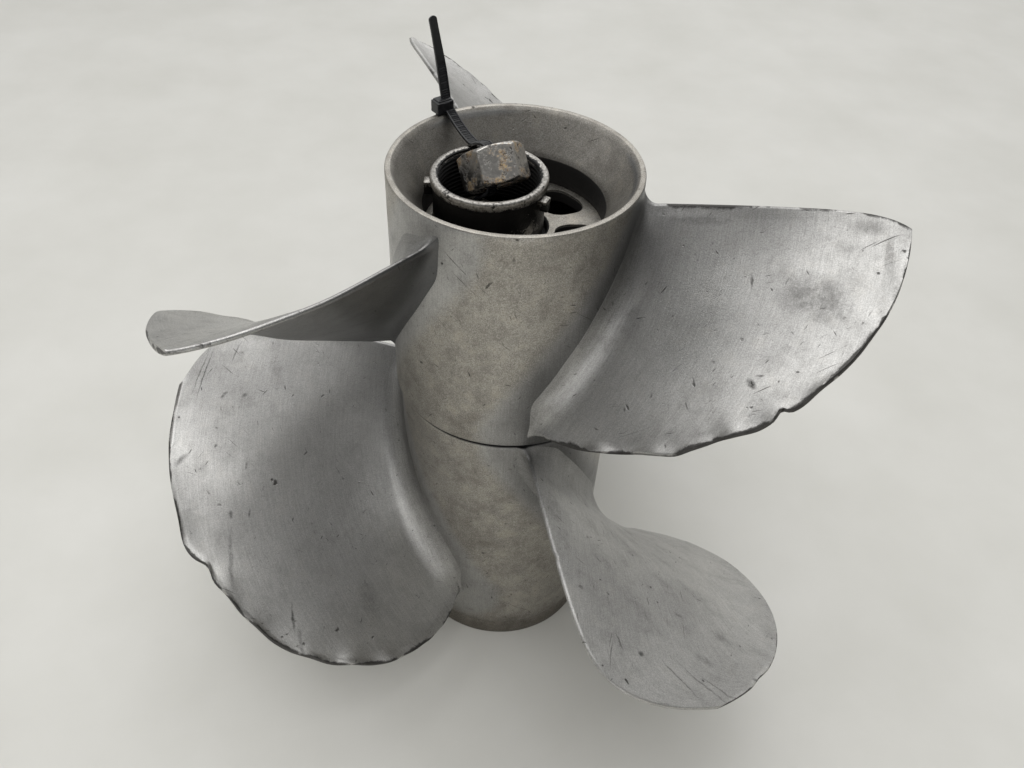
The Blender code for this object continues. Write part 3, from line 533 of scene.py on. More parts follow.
frontBlades = dict(
    frontBladeLeft=dict(
        turn=0, tip=3.251, drop=0.408, square=18.8, lean=0.23, root=2.339, shape=(0.28, -0.325, -0.012),
        tuck=0.15, bend=0.0, twist=0.0, bow=0.0, wear=(0.15, 1.0), curl=0.00025, bead=1.5 * mm,
        dents=((2.13, 1.06, 0.10, -0.04, -0.03), (2.06, 1.20, 0.07, 0.05, 0.0),
               (1.97, 1.36, 0.14, 0.04, 0.035), (1.84, 1.54, 0.12, 0.02, 0.03),
               (2.22, 0.75, 0.16, 0.0, 0.03), (1.55, 1.86, 0.12, 0.01, 0.014),
               (1.25, 2.08, 0.14, 0.015, 0.018), (0.98, 2.22, 0.10, -0.005, 0.012))),
    frontBladeRight=dict(
        turn=120, tip=3.288, drop=0.575, square=14.5, lean=0.231, root=2.605, shape=(0.104, -1.413, 0.96),
        tuck=0.60, bend=0.0, twist=0.0, bow=0.0, wear=(0.25, 0.6), curl=0.0003, bead=0.3 * mm,
        dents=((2.275, 0.821, 0.05, 0.015, 0.0), (1.05, 0.06, 0.03, 0.01, 0.0))),
    frontBladeBack=dict(
        turn=-120, tip=3.274, drop=0.509, square=17.2, lean=0.233, root=2.496, shape=(0.052, -0.456, 0.106),
        tuck=0.45, bend=0.0, twist=0.0, bow=0.0, wear=(0.3, 0.8), curl=0.0005, bead=0.8 * mm,
        dents=((2.0, 1.3, 0.12, 0.02, 0.02),)))


# A point of the blade's face: a helicoid. Outside the rim by u and below the datum by d, both in hub radii,
# its angle is start + sweep(u) - hand (pitch(u) d + camber(u) d (2 - d)) and its height datum + rake(u) - d.
# A bent blade's middle is bowed by some degrees besides
def facePoint(face, blade, r, d):
    u = r - face["rim"]
    out = np.maximum(u, 0)
    p, c, s, k = face["pitch"], face["camber"], face["sweep"], face["rake"]
    angle = face["start"] + blade["turn"] + s[0] * out + (s[1] + blade["twist"]) * out ** 2
    pitched = (p[0] + p[1] * out + p[2] * out ** 2) * d + (c[0] + c[1] * out) * d * (2 - d)
    angle = angle - face["hand"] * pitched
    angle = angle + blade["bow"] * np.exp(-((out - 0.5) / 0.6) ** 4) * (1 - np.maximum(1 - d, 0) ** 2)
    angle = np.radians(angle)
    z = face["datum"] + k[0] * u + (k[1] + blade["bend"]) * out ** 2 - d
    return np.stack([r * np.cos(angle), r * np.sin(angle), z + 0 * angle], -1) * hub


# The face's unit normal on its aft side, from differences along the radius and the depth
def faceNormal(face, blade, r, d):
    step = 0.004
    along = facePoint(face, blade, r + step, d) - facePoint(face, blade, r - step, d)
    fall = facePoint(face, blade, r, d + step) - facePoint(face, blade, r, d - step)
    normal = np.cross(along, fall)
    normal = normal / np.linalg.norm(normal, axis=-1, keepdims=True)
    return normal * np.sign(normal[..., 2:])


# Depths of the trailing and leading edges at v, from 0 at the rim to 1 at the tip
def edgeDepths(blade, v):
    trailing = blade["lean"] * v ** 2 + (blade["drop"] - blade["lean"]) * v ** blade["square"]
    p = blade["shape"]
    swell = 1 + p[0] * v + p[1] * v ** 2 + p[2] * v ** 3
    leading = blade["drop"] + (blade["root"] - blade["drop"]) * np.sqrt(np.maximum(1 - v * v, 0)) * swell
    return trailing, leading - blade["tuck"] * np.exp(-v / 0.09)


# A blade: closed sections carried from inside the hub to the tip. A section runs over the face from the
# trailing to the leading edge and back along the other side; it is thick in the middle and closes in a half
# circle at each edge. Near the hub it grows on all sides by a quarter circle, the root fillet
def bladeMesh(name, face, blade, values, seed):
    columns, fillet, rim = values["columns"], values["fillet"], face["rim"]
    span = blade["tip"] - rim
    sunk, firstStep = 1.2 * mm, 0.012  # how deep a blade starts in the wall; the first row past the fillet
    near = (np.linspace(0, 1, values["filletRows"]) ** 1.5 * fillet - sunk) / hub
    first = math.asin((near[-1] + firstStep) / span)
    sweep = np.linspace(first, math.pi / 2, values["rows"] - values["filletRows"])
    u = np.concatenate([near, np.sin(sweep) * span])[:, None]
    v = np.clip(u / span, 0, 1)
    flare, reach = [size - np.sqrt(size ** 2 - np.clip(size - np.maximum(u, 0) * hub, 0, size) ** 2)
                    for size in (fillet, values["edgeFillet"])]
    trailing, leading = edgeDepths(blade, v)
    lean = np.abs(np.gradient(leading[:, 0], u[:, 0]))[:, None]
    leanBack = np.abs(np.gradient(trailing[:, 0], u[:, 0]))[:, None]
    jag = 0.006 * blade["curl"] / mm * smoothStep(u, 0.1, 0.4)
    jag = jag * ripple(9 * u + 7 * leading, 0 * u, seed + 70, 9, 1, 5)
    trailing = trailing - reach / hub
    leading = leading + 0.6 * reach / hub + jag
    s = (0.5 - 0.5 * np.cos(np.linspace(0, math.pi, columns)))[None]
    d = trailing + (leading - trailing) * s
    out = u + 0 * d
    middle = np.array([0.45 * span, float(np.mean(edgeDepths(blade, np.array([0.45]))))])
    bend = np.zeros(d.shape)
    for place, depth, reach, push, lift in blade["dents"]:
        share = np.exp(-((out - place) ** 2 + 1.4 * (d - depth) ** 2) / reach ** 2)
        inward = middle - (place, depth)
        inward = inward / np.linalg.norm(inward)
        out = out + push * inward[0] * share
        d = d + push * inward[1] * share
        bend = bend + lift * hub * share
    low, high, zLow, zHigh = face["wall"]
    local = low + (high - low) * np.clip((face["datum"] - d - zLow) / (zHigh - zLow), 0, 1)
    r = rim + out - (rim - local) * np.exp(-np.maximum(out, 0) / 0.12)
    point = facePoint(face, blade, r, d)
    normal = faceNormal(face, blade, r, d)
    step = np.linalg.norm(np.diff(point, axis=1), axis=2)
    run = np.concatenate([np.zeros((len(u), 1)), np.cumsum(step, axis=1)], axis=1)
    toEdge = np.minimum(run / np.sqrt(1 + leanBack ** 2), (run[:, -1:] - run) / np.sqrt(1 + lean ** 2))
    most = values["tip"] + (values["root"] - values["tip"]) * (1 - v) ** 1.3
    full = values["edge"] + (most - values["edge"]) * np.clip(1 - (2 * s - 1) ** 2, 0, 1) ** 0.8
    inside = smoothStep(toEdge, 0, 0.020)
    close = np.sqrt(1 - (1 - np.clip(toEdge / (1.2 * mm + 0.25 * flare), 0, 1)) ** 2)
    x, y = point[..., 0] / hub, point[..., 2] / hub + 0.6 * point[..., 1] / hub
    free = np.clip(u * hub / 0.012, 0, 1)
    toLead = (run[:, -1:] - run) / np.sqrt(1 + lean ** 2)
    wave = 0.00030 * ripple(x, y, seed, 9, 3, 9) * free * np.clip(toEdge / 0.006, 0, 1)
    wave = wave + blade["curl"] * ripple(x, y, seed + 50, 14, 9, 26) * free * np.exp(-toLead / 0.007)
    uneven = 0.5 + 0.5 * np.abs(ripple(x, y, seed + 90, 9, 6, 16))
    bead = blade["bead"] * np.exp(-(toLead / 0.0036) ** 2) * free * uneven
    mid = point + normal * (wave + bend - full / 2)[..., None]
    swell = flare * (0.08 + 0.92 * inside)
    upper = mid + normal * ((full / 2 + 0.9 * bead + swell) * close)[..., None]
    lower = mid - normal * ((full / 2 + 0.3 * bead + 0.6 * swell) * close)[..., None]
    # Near the wall each row keeps to its own radius, so the fillet doesn't ride over the hub
    hold = np.exp(-(np.maximum(out, 0) * hub / 0.016) ** 2)
    for side in (upper, lower):
        wider = np.hypot(side[..., 0], side[..., 1]) / np.hypot(point[..., 0], point[..., 1])
        side[..., :2] /= (1 + hold * (wider - 1))[..., None]
    loop = np.concatenate([upper, lower[:, -2:0:-1]], axis=1)
    loop[..., 2] = np.clip(loop[..., 2], face["floor"], face["ceiling"])
    front = smoothStep(s, 0.42, 0.58)
    edge = np.exp(-toEdge / 0.0024) * (blade["wear"][0] * (1 - front) + blade["wear"][1] * front) * free
    edge = np.concatenate([edge, edge[:, -2:0:-1]], axis=1)
    place = np.stack([out * hub, 1.5 * d * hub], -1)
    place = np.concatenate([place, place[:, -2:0:-1]], axis=1)
    aft = np.concatenate([np.ones(d.shape), np.zeros((len(u), columns - 2))], axis=1)
    grind = np.stack([out * hub, run], -1)
    grind = np.concatenate([grind, grind[:, -2:0:-1]], axis=1)
    count, mirrored = loop.shape[1], face["hand"] < 0
    points = np.concatenate([loop.reshape(-1, 3), loop[0].mean(axis=0)[None], loop[-1].mean(axis=0)[None]])
    faces = [gridFaces(len(u), count, closeColumns=True, flip=mirrored)] + capFaces(len(u), count, mirrored)
    flat, spot = [np.concatenate([m.reshape(-1, 2), m[0, :1], m[-1, :1]]) for m in (grind, place)]
    # Painted shade darkens the metal by the root, along the rear blades' aft edges and on one fore side
    away = np.maximum(out, 0) * hub
    paintedShade = 0.42 * np.exp(-(away / (0.010 + 0.020 * np.exp(-(d / 0.5) ** 2))) ** 2)
    if face["hand"] > 0:
        paintedShade = paintedShade * (1 - 0.5 * smoothStep(d, 0.3, 0.9))
        paintedShade = np.maximum(paintedShade, 0.34 * np.exp(-(d / 0.15) ** 2) * (1 - smoothStep(out, 1.0, 1.5)))
    else:
        paintedShade = paintedShade * (1 - 0.85 * smoothStep(d, 1.0, 1.7))
    # Painted shade on the fore side, as strong as the blade's under value
    under = np.maximum(paintedShade, blade.get("under", 0.0) * np.exp(-(out / 1.25) ** 2))
    paintedShade = np.concatenate([paintedShade, under[:, -2:0:-1]], axis=1)
    marks = {"edge": np.concatenate([edge.ravel(), [0.0, 0.5]]),
             "aft": np.concatenate([aft.ravel(), [0.0, 1.0]]),
             "paintedShade": np.concatenate([paintedShade.ravel(), [0.0, 0.0]]), "ground": np.ones(len(points))}
    return makeMesh(name, points, faces, None, marks, flat, None, spot)


for number, (name, blade) in enumerate(rearBlades.items()):
    makePiece(name, bladeMesh(name, rearFace, blade, bladeShape, 20 + number), "rear", "rear_propeller",
              bladeFinish.get(name, castStainless))
for number, (name, blade) in enumerate(frontBlades.items()):
    makePiece(name, bladeMesh(name, frontFace, blade, bladeShape, 30 + number), "front", "front_propeller",
              bladeFinish.get(name, castStainless))

print("stage: hubs")


# Profile corners joined by straight runs of points no further apart than step
def denseProfile(corners, step):
    corners = np.asarray(corners, dtype=float)
    runs = []
    for a, b in zip(corners, np.roll(corners, -1, axis=0)):
        count = max(1, int(math.ceil(np.linalg.norm(b - a) / step)))
        runs.append(a + (b - a) * np.arange(count)[:, None] / count)
    return np.concatenate(runs)


# A closed profile of radius and height pairs turned round the vertical axis, lightly rippled
def turnedMesh(name, profile, segments, centre=(0, 0), rough=0.0, seed=1, sharp=32.0, values=None, cut=None):
    profile = np.asarray(profile, dtype=float)
    angle = np.linspace(0, 2 * math.pi, segments, endpoint=False)[:, None]
    height = profile[None, :, 1]
    r = profile[None, :, 0] + rough * ripple(3 * np.cos(angle) + 60 * height, 3 * np.sin(angle), seed)
    z = profile[None, :, 1] + 0 * angle
    if cut:
        r = r + cut(angle, r, z)
    points = np.stack([centre[0] + r * np.cos(angle), centre[1] + r * np.sin(angle), z], -1)
    faces = gridFaces(segments, len(profile), closeRows=True, closeColumns=True)
    size = float(np.max(profile[:, 0]))
    grind = np.stack([angle * size + 0 * z, z + 0.6 * r], -1)
    marks = {key: value(r, z, angle) for key, value in (values or {}).items()}
    return makeMesh(name, points, [faces], sharp, marks, grind, (len(profile), 2 * math.pi * size))


# How far the grinder went over a hub: fully within 15 mm of a blade's root line, fading out by 32 mm
def groundNear(face, blades):
    roots = []
    for blade in blades.values():
        first, last = [float(e[0]) for e in edgeDepths(blade, np.zeros(1))]
        roots.append(facePoint(face, blade, np.full(70, 1.0), np.linspace(first - 0.05, last + 0.05, 70)))

    def share(r, z, angle):
        points = np.stack([r * np.cos(angle), r * np.sin(angle), z], -1)[:, :, None]
        nearest = np.min([np.linalg.norm(points - root, axis=-1).min(axis=-1) for root in roots], axis=0)
        return (1 - smoothStep(nearest, 0.013, 0.032)) * (r > 0.0505) * (z < 0.2795)
    return share


# Soot lies on every inner wall of the hubs: inside the cup below the cone, and below the web
def rearSoot(r, z, angle):
    cup = (z < 0.2621) * (r < 0.0406) * 1.0
    return np.maximum(cup, (z < 0.2445) * (r < 0.0512) * 1.0) + 0 * angle


def frontSoot(r, z, angle):
    return (r < 0.0493) * (z > 0.002) * (z < 0.1622) * (r < 0.0470 + (z > 0.02) * 0.0023) * 1.0 + 0 * angle


# Profiles as radius and height, clockwise
rearOuter = [
    (0.0544, 0.2800), (0.0547, 0.2799), (0.0550, 0.2794), (0.0553, 0.1663), (0.0552, 0.1656), (0.0549, 0.1650),
    (0.0543, 0.1647), (0.0514, 0.1647), (0.0506, 0.1657), (0.0504, 0.2280), (0.0450, 0.2440), (0.0405, 0.2440),
    (0.0405, 0.2490), (0.0399, 0.2500), (0.0399, 0.2618), (0.0401, 0.2624), (0.0524, 0.2798), (0.0528, 0.2800)]
frontOuter = [
    (0.0490, 0.1626), (0.0524, 0.1626), (0.0530, 0.1624), (0.0533, 0.1617), (0.0533, 0.1560), (0.0509, 0.0125),
    (0.0506, 0.0117), (0.0497, 0.0108), (0.0500, 0.0040), (0.0504, 0.0014), (0.0502, 0.0004), (0.0498, 0.0),
    (0.0454, 0.0), (0.0458, 0.0200), (0.0486, 0.1500)]
rearInner = [(0.0150, 0.1786), (0.0150, 0.2492), (0.0156, 0.2498), (0.0176, 0.2497), (0.0175, 0.2445),
             (0.0175, 0.1786), (0.0169, 0.1780), (0.0156, 0.1780)]
frontInner = [(0.0300, 0.0106), (0.0300, 0.1494), (0.0306, 0.1500), (0.0334, 0.1500), (0.0340, 0.1494),
              (0.0340, 0.0106), (0.0334, 0.0100), (0.0306, 0.0100)]
rearGround, frontGround = groundNear(rearFace, rearBlades), groundNear(frontFace, frontBlades)
hubRough = 0.04 * mm
for name, profile, segments, soot, ground, body in (
        ("rearBarrel", denseProfile(rearOuter, 3 * mm), 320, rearSoot, rearGround, "rear"),
        ("rearTube", denseProfile(rearInner, 6 * mm), 96, rearSoot, rearGround, "rear"),
        ("frontBarrel", denseProfile(frontOuter, 3 * mm), 320, frontSoot, frontGround, "front"),
        ("frontTube", denseProfile(frontInner, 6 * mm), 120, frontSoot, frontGround, "front")):
    # Painted shade beside the blades' roots, most on the right, and a little inside the aft cone
    def darkened(r, z, angle):
        rightness = 0.15 + 0.85 * smoothStep(np.cos(angle), -0.3, 0.3)
        return np.maximum(0.62 * ground(r, z, angle) * rightness, 0.22 * (r < 0.0525) * (z > 0.2622))

    values = {"soot": soot, "ground": ground, "paintedShade": darkened}
    mesh = turnedMesh(name, profile, segments, rough=hubRough, seed=len(name), values=values)
    makePiece(name, mesh, body, body + "_propeller", castStainless)


# A rib between tube and barrel: a plate along a radius, its section flared where it meets either wall,
# its ends rounded; rows go up, columns go round the section
def ribMesh(name, angle, inner, outer, low, high, values):
    half, flare = values["half"], values["flare"]
    r = inner + (outer - inner) * (0.5 - 0.5 * np.cos(np.linspace(0, math.pi, values["across"])))
    gap = np.minimum(r - inner, outer - r)
    bulge = flare - np.sqrt(np.maximum(flare ** 2 - np.maximum(flare - gap, 0) ** 2, 0))
    section = np.concatenate([np.stack([r, half + bulge], -1),
                              np.stack([r[::-1], -(half + bulge)[::-1]], -1)])
    z = low + (high - low) * (0.5 - 0.5 * np.cos(math.pi * np.linspace(0, 1, values["up"])))
    near = np.clip(np.minimum(z - low, high - z) / half, 0, 1)
    wide = section[None, :, 1] * np.maximum(np.sqrt(near * (2 - near)), 0.04)[:, None]
    c, s = math.cos(math.radians(angle)), math.sin(math.radians(angle))
    radius = section[None, :, 0] + 0 * wide
    points = np.stack([radius * c - wide * s, radius * s + wide * c, z[:, None] + 0 * wide], -1)
    rows, count = points.shape[:2]
    faces = [gridFaces(rows, count, closeColumns=True, flip=True)] + capFaces(rows, count, True)
    ends = np.array([points[0].mean(axis=0), points[-1].mean(axis=0)])
    grind = np.stack([radius, z[:, None] + 0 * wide], -1).reshape(-1, 2)
    return makeMesh(name, np.concatenate([points.reshape(-1, 3), ends]), faces, 40,
                    {"soot": np.ones(rows * count + 2)}, np.concatenate([grind, grind[:2]]))


ribShape = dict(half=3.0 * mm, flare=3.5 * mm, across=30, up=50)
for angle in (73, 193, 313):
    makePiece(f"rearRib{angle}", ribMesh("rearRib", angle, 0.0168, 0.0512, 0.1862, 0.2462, ribShape),
              "rear", "rear_propeller", castStainless)
for angle in (30, 150, 270):
    makePiece(f"frontRib{angle}", ribMesh("frontRib", angle, 0.0332, 0.0480, 0.0147, 0.1458, ribShape),
              "front", "front_propeller", castStainless)


# A rounded box of half width by half height, followed at even steps: its two coordinates
def roundedBox(width, height, corner, count):
    straight = np.array([2 * (height - corner), 2 * (width - corner)] * 2)
    turns = np.full(4, math.pi / 2 * corner)
    knots = np.cumsum(np.concatenate([[0], np.stack([straight, turns], -1).ravel()]))
    at = np.arange(count) / count * knots[-1]
    side = np.clip(np.searchsorted(knots, at, side="right") - 1, 0, 7)
    run = at - knots[side]
    quarter = side // 2
    dx, dy = np.array([0, -1, 0, 1])[quarter], np.array([1, 0, -1, 0])[quarter]
    firstX = np.array([width, width - corner, -width, corner - width])[quarter]
    firstY = np.array([corner - height, height, height - corner, -height])[quarter]
    centreX = np.array([width - corner, corner - width, corner - width, width - corner])[quarter]
    centreY = np.array([height - corner, height - corner, corner - height, corner - height])[quarter]
    bend = quarter * math.pi / 2 + run / max(corner, 1e-6)
    onLine = side % 2 == 0
    x = np.where(onLine, firstX + dx * run, centreX + corner * np.cos(bend))
    y = np.where(onLine, firstY + dy * run, centreY + corner * np.sin(bend))
    return x, y


# The web that carries the rear tube: six sectors of 60 degrees, each a ring of surface between its own
# border and a window, down through the window and back below; a window is a rounded piece of a ring
def webMesh(name, values):
    count, levels, soft = values["round"], values["levels"], values["soft"]
    pieces, faces, start = [], [], 0
    for number in range(6):
        middle = math.radians(values["first"] + 60 * number)
        loops = []
        for (low, high), spread, corner in (
                (values["border"], math.pi / 6, 0.4 * mm),
                (values["window"], math.radians(values["half"]), values["corner"])):
            mean = (low + high) / 2
            across, up = roundedBox(spread * mean, (high - low) / 2, corner, count)
            loops.append((middle + across / mean, mean + up))
        (angleOut, radiusOut), (angleIn, radiusIn) = loops
        share = np.linspace(0, 1, levels)
        flat = [(angleOut + (angleIn - angleOut) * k, radiusOut + (radiusIn - radiusOut) * k * 0.98)
                for k in share]
        rings = [(a, r, values["top"]) for a, r in flat]
        # The window's rim is rounded down in four steps of a quarter turn
        middleR, halfWindow = radiusIn.mean(), 9 * mm
        for turn in (0.4, 0.8, 1.2, 1.5708):
            wider = 1 + 0.35 * soft * (1 - math.sin(turn)) / halfWindow
            rings.append((middle + (angleIn - middle) * wider, middleR + (radiusIn - middleR) * wider,
                          values["top"] - soft * (1 - math.cos(turn))))
        rings += [(angleIn, radiusIn, values["bottom"] + soft), (angleIn, radiusIn, values["bottom"])]
        rings += [(a, r, values["bottom"]) for a, r in flat[::-1][1:]]
        grid = np.stack([np.stack([r * np.cos(a), r * np.sin(a), z + 0 * a], -1) for a, r, z in rings])
        faces.append(gridFaces(len(rings), count, closeRows=True, closeColumns=True, flip=True, start=start))
        start += len(rings) * count
        pieces.append(grid.reshape(-1, 3))
    points = np.concatenate(pieces)
    soot = (points[:, 2] < values["top"] - 0.0010) * 1.0
    return makeMesh(name, points, faces, 35, {"soot": soot}, points[:, :2])


webShape = dict(first=44, half=21.0, window=(0.0188, 0.0368), border=(0.0160, 0.0404), corner=6.8 * mm,
                top=0.2498, bottom=0.2440, soft=1.2 * mm, round=220, levels=12)
makePiece("rearWeb", webMesh("rearWeb", webShape), "rear", "rear_propeller",
          castStainless)

print("stage: ring nut, hexagon nut and tie")


# A block with rounded edges: a rounded box carried up, drawn in near both ends; frameAxes are its three axes
def blockMesh(half, corner, centre, frameAxes, count=72, rows=18):
    share = np.linspace(0, 1, rows)
    z = half[2] * (2 * share - 1)
    near = np.clip(half[2] - np.abs(z), 0, corner)
    inset = corner - np.sqrt(np.maximum(corner ** 2 - (corner - near) ** 2, 0))
    rings = []
    for level, draw in zip(z, inset):
        x, y = roundedBox(half[0] - draw, half[1] - draw, max(corner - draw * 0.7, 0.2 * corner), count)
        rings.append(np.stack([x, y, np.full(count, level)], -1))
    grid = np.concatenate([np.concatenate(rings), [[0, 0, z[0]], [0, 0, z[-1]]]])
    points = np.asarray(centre) + grid @ np.asarray(frameAxes)
    return points, [gridFaces(rows, count, closeColumns=True)] + capFaces(rows, count)


# Several closed shells in one mesh; each is points, faces and a value per point
def joinedMesh(name, shells, sharp, key):
    points, faces, marks, start = [], [], [], 0
    for shellPoints, shellFaces, mark in shells:
        points.append(shellPoints.reshape(-1, 3))
        faces += [f + start for f in shellFaces]
        marks.append(np.asarray(mark).ravel())
        start += len(points[-1])
    return makeMesh(name, np.concatenate(points), faces, sharp, {key: np.concatenate(marks)})


# Ring nut: lugs as inner and outer radius, width, low and high; the one at narrowed is worn to a wedge
ringShape = dict(centre=(-0.0110, 0.0005), pitch=2.0 * mm, thread=1.0 * mm, lugs=(78, 180, 335), narrowed=335,
                 lug=(0.0231, 0.0281, 0.0052, 0.2640, 0.2704), bore=(0.0221, 0.2744, 0.2501, 100))
ringOutside = denseProfile([
    (0.0244, 0.2501), (0.0244, 0.2706), (0.0252, 0.2711), (0.0255, 0.2716), (0.0255, 0.2740), (0.0251, 0.2747),
    (0.0245, 0.2750), (0.0233, 0.2750), (0.0228, 0.2748)], 1.2 * mm)
ringBore, boreTop, boreFoot, boreRows = ringShape["bore"]
closing = 21  # points of the outside's last run, from top back to start, which the bore replaces
ringProfile = np.concatenate([
    ringOutside[:-closing],
    np.stack([np.full(boreRows, ringBore), np.linspace(boreTop, boreFoot, boreRows)], -1)])[::-1]


# The thread is cut into the bore as a triangle wave of height less turns times pitch
def threadCut(angle, r, z):
    turns = z / ringShape["pitch"] - angle / (2 * math.pi)
    wave = np.abs(2 * (turns % 1) - 1)
    inside = (r < 0.0222) * smoothStep(0.2746 - z, 0, 0.001)
    return inside * ringShape["thread"] * smoothStep(wave, 0.1, 0.9)


def ringWear(r, z, angle):
    top = smoothStep(z, 0.2706, 0.2722) * smoothStep(r, 0.0222, 0.0232)
    patch = np.exp(-((angle - 5.55) / 0.35) ** 2) * np.exp(-((z - 0.2575) / 0.0045) ** 2) * (r > 0.0235)
    return 0.40 * top + 0.34 * patch + 0 * z


ringTurned = turnedMesh("ringNut", ringProfile, 200, ringShape["centre"], 0.05 * mm, 17, 38,
                        {"wear": ringWear}, threadCut)
makePiece("ringNut", ringTurned, "rear", "ring_nut", ringSteel)
lugShells = []
for angle in ringShape["lugs"]:
    c, s = math.cos(math.radians(angle)), math.sin(math.radians(angle))
    inner, outer, wide, low, high = ringShape["lug"]
    middle = (inner + outer) / 2
    centre = (ringShape["centre"][0] + middle * c, ringShape["centre"][1] + middle * s, (low + high) / 2)
    points, faces = blockMesh(((outer - inner) / 2, wide / 2, (high - low) / 2), 0.7 * mm, centre,
                              ((c, s, 0), (-s, c, 0), (0, 0, 1)))
    if angle == ringShape["narrowed"]:
        narrow = 0.25 + 0.75 * smoothStep(points[:, 2], low, high - 0.001)
        offset = points[:, :2] - centre[:2]
        across = offset @ (-s, c)
        points[:, :2] -= (across * (1 - narrow))[:, None] * (-s, c)
    lugShells.append((points, faces, 0.12 + 0.3 * smoothStep(points[:, 2], 0.265, 0.2704)))
makePiece("ringLugs", joinedMesh("ringLugs", lugShells, 40, "wear"), "rear", "ring_nut",
          ringSteel)

# Hexagon nut: grime is a share per facet
hexShape = dict(centre=(-0.00935, 0.00558, 0.27420), axis=(-0.29, 0.57), spin=-0.89, flats=26.1 * mm,
                length=16.3 * mm, bore=8.0 * mm, segments=240, grime=(0.0, 0.5, 0.9, 0.9, 0.8, 0.05))
hexAxis = np.array([*hexShape["axis"], math.sqrt(1 - hexShape["axis"][0] ** 2 - hexShape["axis"][1] ** 2)])
hexSide = np.cross(hexAxis, [1.0, 0, 0])
hexSide = hexSide / np.linalg.norm(hexSide)
hexX = math.cos(hexShape["spin"]) * np.cross(hexSide, hexAxis) + math.sin(hexShape["spin"]) * hexSide
hexFrame = np.array([hexX, np.cross(hexAxis, hexX), hexAxis])


# Hexagon nut: each ring's radius is the lesser of the hexagon and the chamfer cone, blended over 0.5 mm
def hexMesh(values):
    flat, end = values["flats"] / 2, values["length"] / 2
    angle = np.linspace(0, 2 * math.pi, values["segments"], endpoint=False)
    sixth = (angle % (math.pi / 3)) - math.pi / 6
    corner = flat / math.cos(math.pi / 6)
    hexagon = np.minimum(flat / np.cos(sixth), corner - 0.15 * mm)
    z = np.concatenate([np.linspace(-end, -end + 0.0026, 14), np.linspace(-end + 0.0032, end - 0.0032, 16),
                        np.linspace(end - 0.0026, end, 14)])
    cone = flat * 0.965 + (end - np.abs(z)) * 1.65
    a, b, k = hexagon[None], cone[:, None], 0.0002
    outside = -k * np.log(np.exp(-(a - corner) / k) + np.exp(-(b - corner) / k)) + corner
    rows = [(outside[i], z[i]) for i in range(len(z))]
    face = np.linspace(0, 1, 8)[1:]
    top = [(rows[-1][0] * (1 - t) + (values["bore"] + 0.0007) * t, end) for t in face]
    bore = [(np.full(len(angle), values["bore"]), height) for height in (end - 0.8 * mm, 0.0, 0.8 * mm - end)]
    bottom = [(rows[0][0] * (1 - t) + (values["bore"] + 0.0007) * t, -end) for t in face[::-1]]
    rings = rows + top + bore + bottom
    grid = np.stack([np.stack([r * np.cos(angle), r * np.sin(angle), np.full(len(angle), level)], -1)
                     for r, level in rings])
    points = np.asarray(values["centre"]) + grid.reshape(-1, 3) @ hexFrame
    faces = gridFaces(len(rings), len(angle), closeRows=True, closeColumns=True)
    facet = np.floor(angle / (math.pi / 3)).astype(int)
    grime = np.tile(np.array(values["grime"])[facet], len(rings))
    return makeMesh("hexNut", points, [faces], 24, {"grime": grime})


makePiece("hexNut", hexMesh(hexShape), "rear", "hex_nut", hexSteel)

tieShape = dict(turn=129.0, width=4.8 * mm, thick=1.25 * mm, tooth=1.1 * mm, step=0.3 * mm)
around = math.radians(tieShape["turn"])
outward = np.array([math.cos(around), math.sin(around), 0])
sideways = np.array([-math.sin(around), math.cos(around), 0])


# Points along the middle of the strap, from the head's outer side, under the hub, up through a window and
# both nuts, back over the rim and through the head to the free end
def strapRoute():
    outside, under = 0.05625, 0.16365  # along the hub's wall, and in the running gap
    centre = np.array(hexShape["centre"])
    entry, leave = centre - hexAxis * hexShape["length"] * 0.5, centre + hexAxis * hexShape["length"] * 0.5
    first = [(0.0568, 0.2815), (0.0566, 0.2770), (outside, 0.2700), (outside + 0.1 * mm, 0.2200),
             (outside + 0.2 * mm, 0.1720), (0.0564, 0.1668), (0.0557, 0.1642), (0.0540, under),
             (0.0510, under), (0.0490, 0.1645), (0.0482, 0.1680), (0.0462, 0.1760)]
    route = [outward * r + np.array([0, 0, z]) for r, z in first]
    route += [(-0.0265, 0.0220, 0.2150), (-0.0222, 0.0080, 0.2420), (-0.0205, 0.0035, 0.2520),
              (-0.0160, -0.0012, 0.2625), entry + (-0.0032, -0.0012, -0.0012),
              centre + (-0.0010, 0.0005, 0.0002), leave + hexAxis * 1.2 * mm,
              (-0.0157, 0.0163, 0.2801), (-0.0191, 0.0225, 0.2764),
              (-0.0245, 0.0315, 0.2772), (-0.0300, 0.0400, 0.2806), (-0.0325, 0.0434, 0.2836),
              (-0.0336, 0.0448, 0.2890), (-0.0350, 0.0450, 0.3000), (-0.0368, 0.0447, 0.3120),
              (-0.0385, 0.0440, 0.3230)]
    return np.array([np.asarray(p, dtype=float) for p in route])


# A Catmull-Rom curve through the route, read at even steps of its length
def smoothRoute(route, step):
    ends = np.concatenate([[2 * route[0] - route[1]], route, [2 * route[-1] - route[-2]]])
    t = np.linspace(0, 1, 60, endpoint=False)[:, None]
    parts = []
    for a, b, c, d in zip(ends[:-3], ends[1:-2], ends[2:-1], ends[3:]):
        square, cube = 2 * a - 5 * b + 4 * c - d, 3 * b - a - 3 * c + d
        parts.append(0.5 * (2 * b + (c - a) * t + square * t ** 2 + cube * t ** 3))
    fine = np.concatenate(parts + [route[-1:]])
    length = np.concatenate([[0], np.cumsum(np.linalg.norm(np.diff(fine, axis=0), axis=1))])
    at = np.linspace(0, length[-1], int(length[-1] / step))
    return np.stack([np.interp(at, length, fine[:, axis]) for axis in range(3)], -1), at


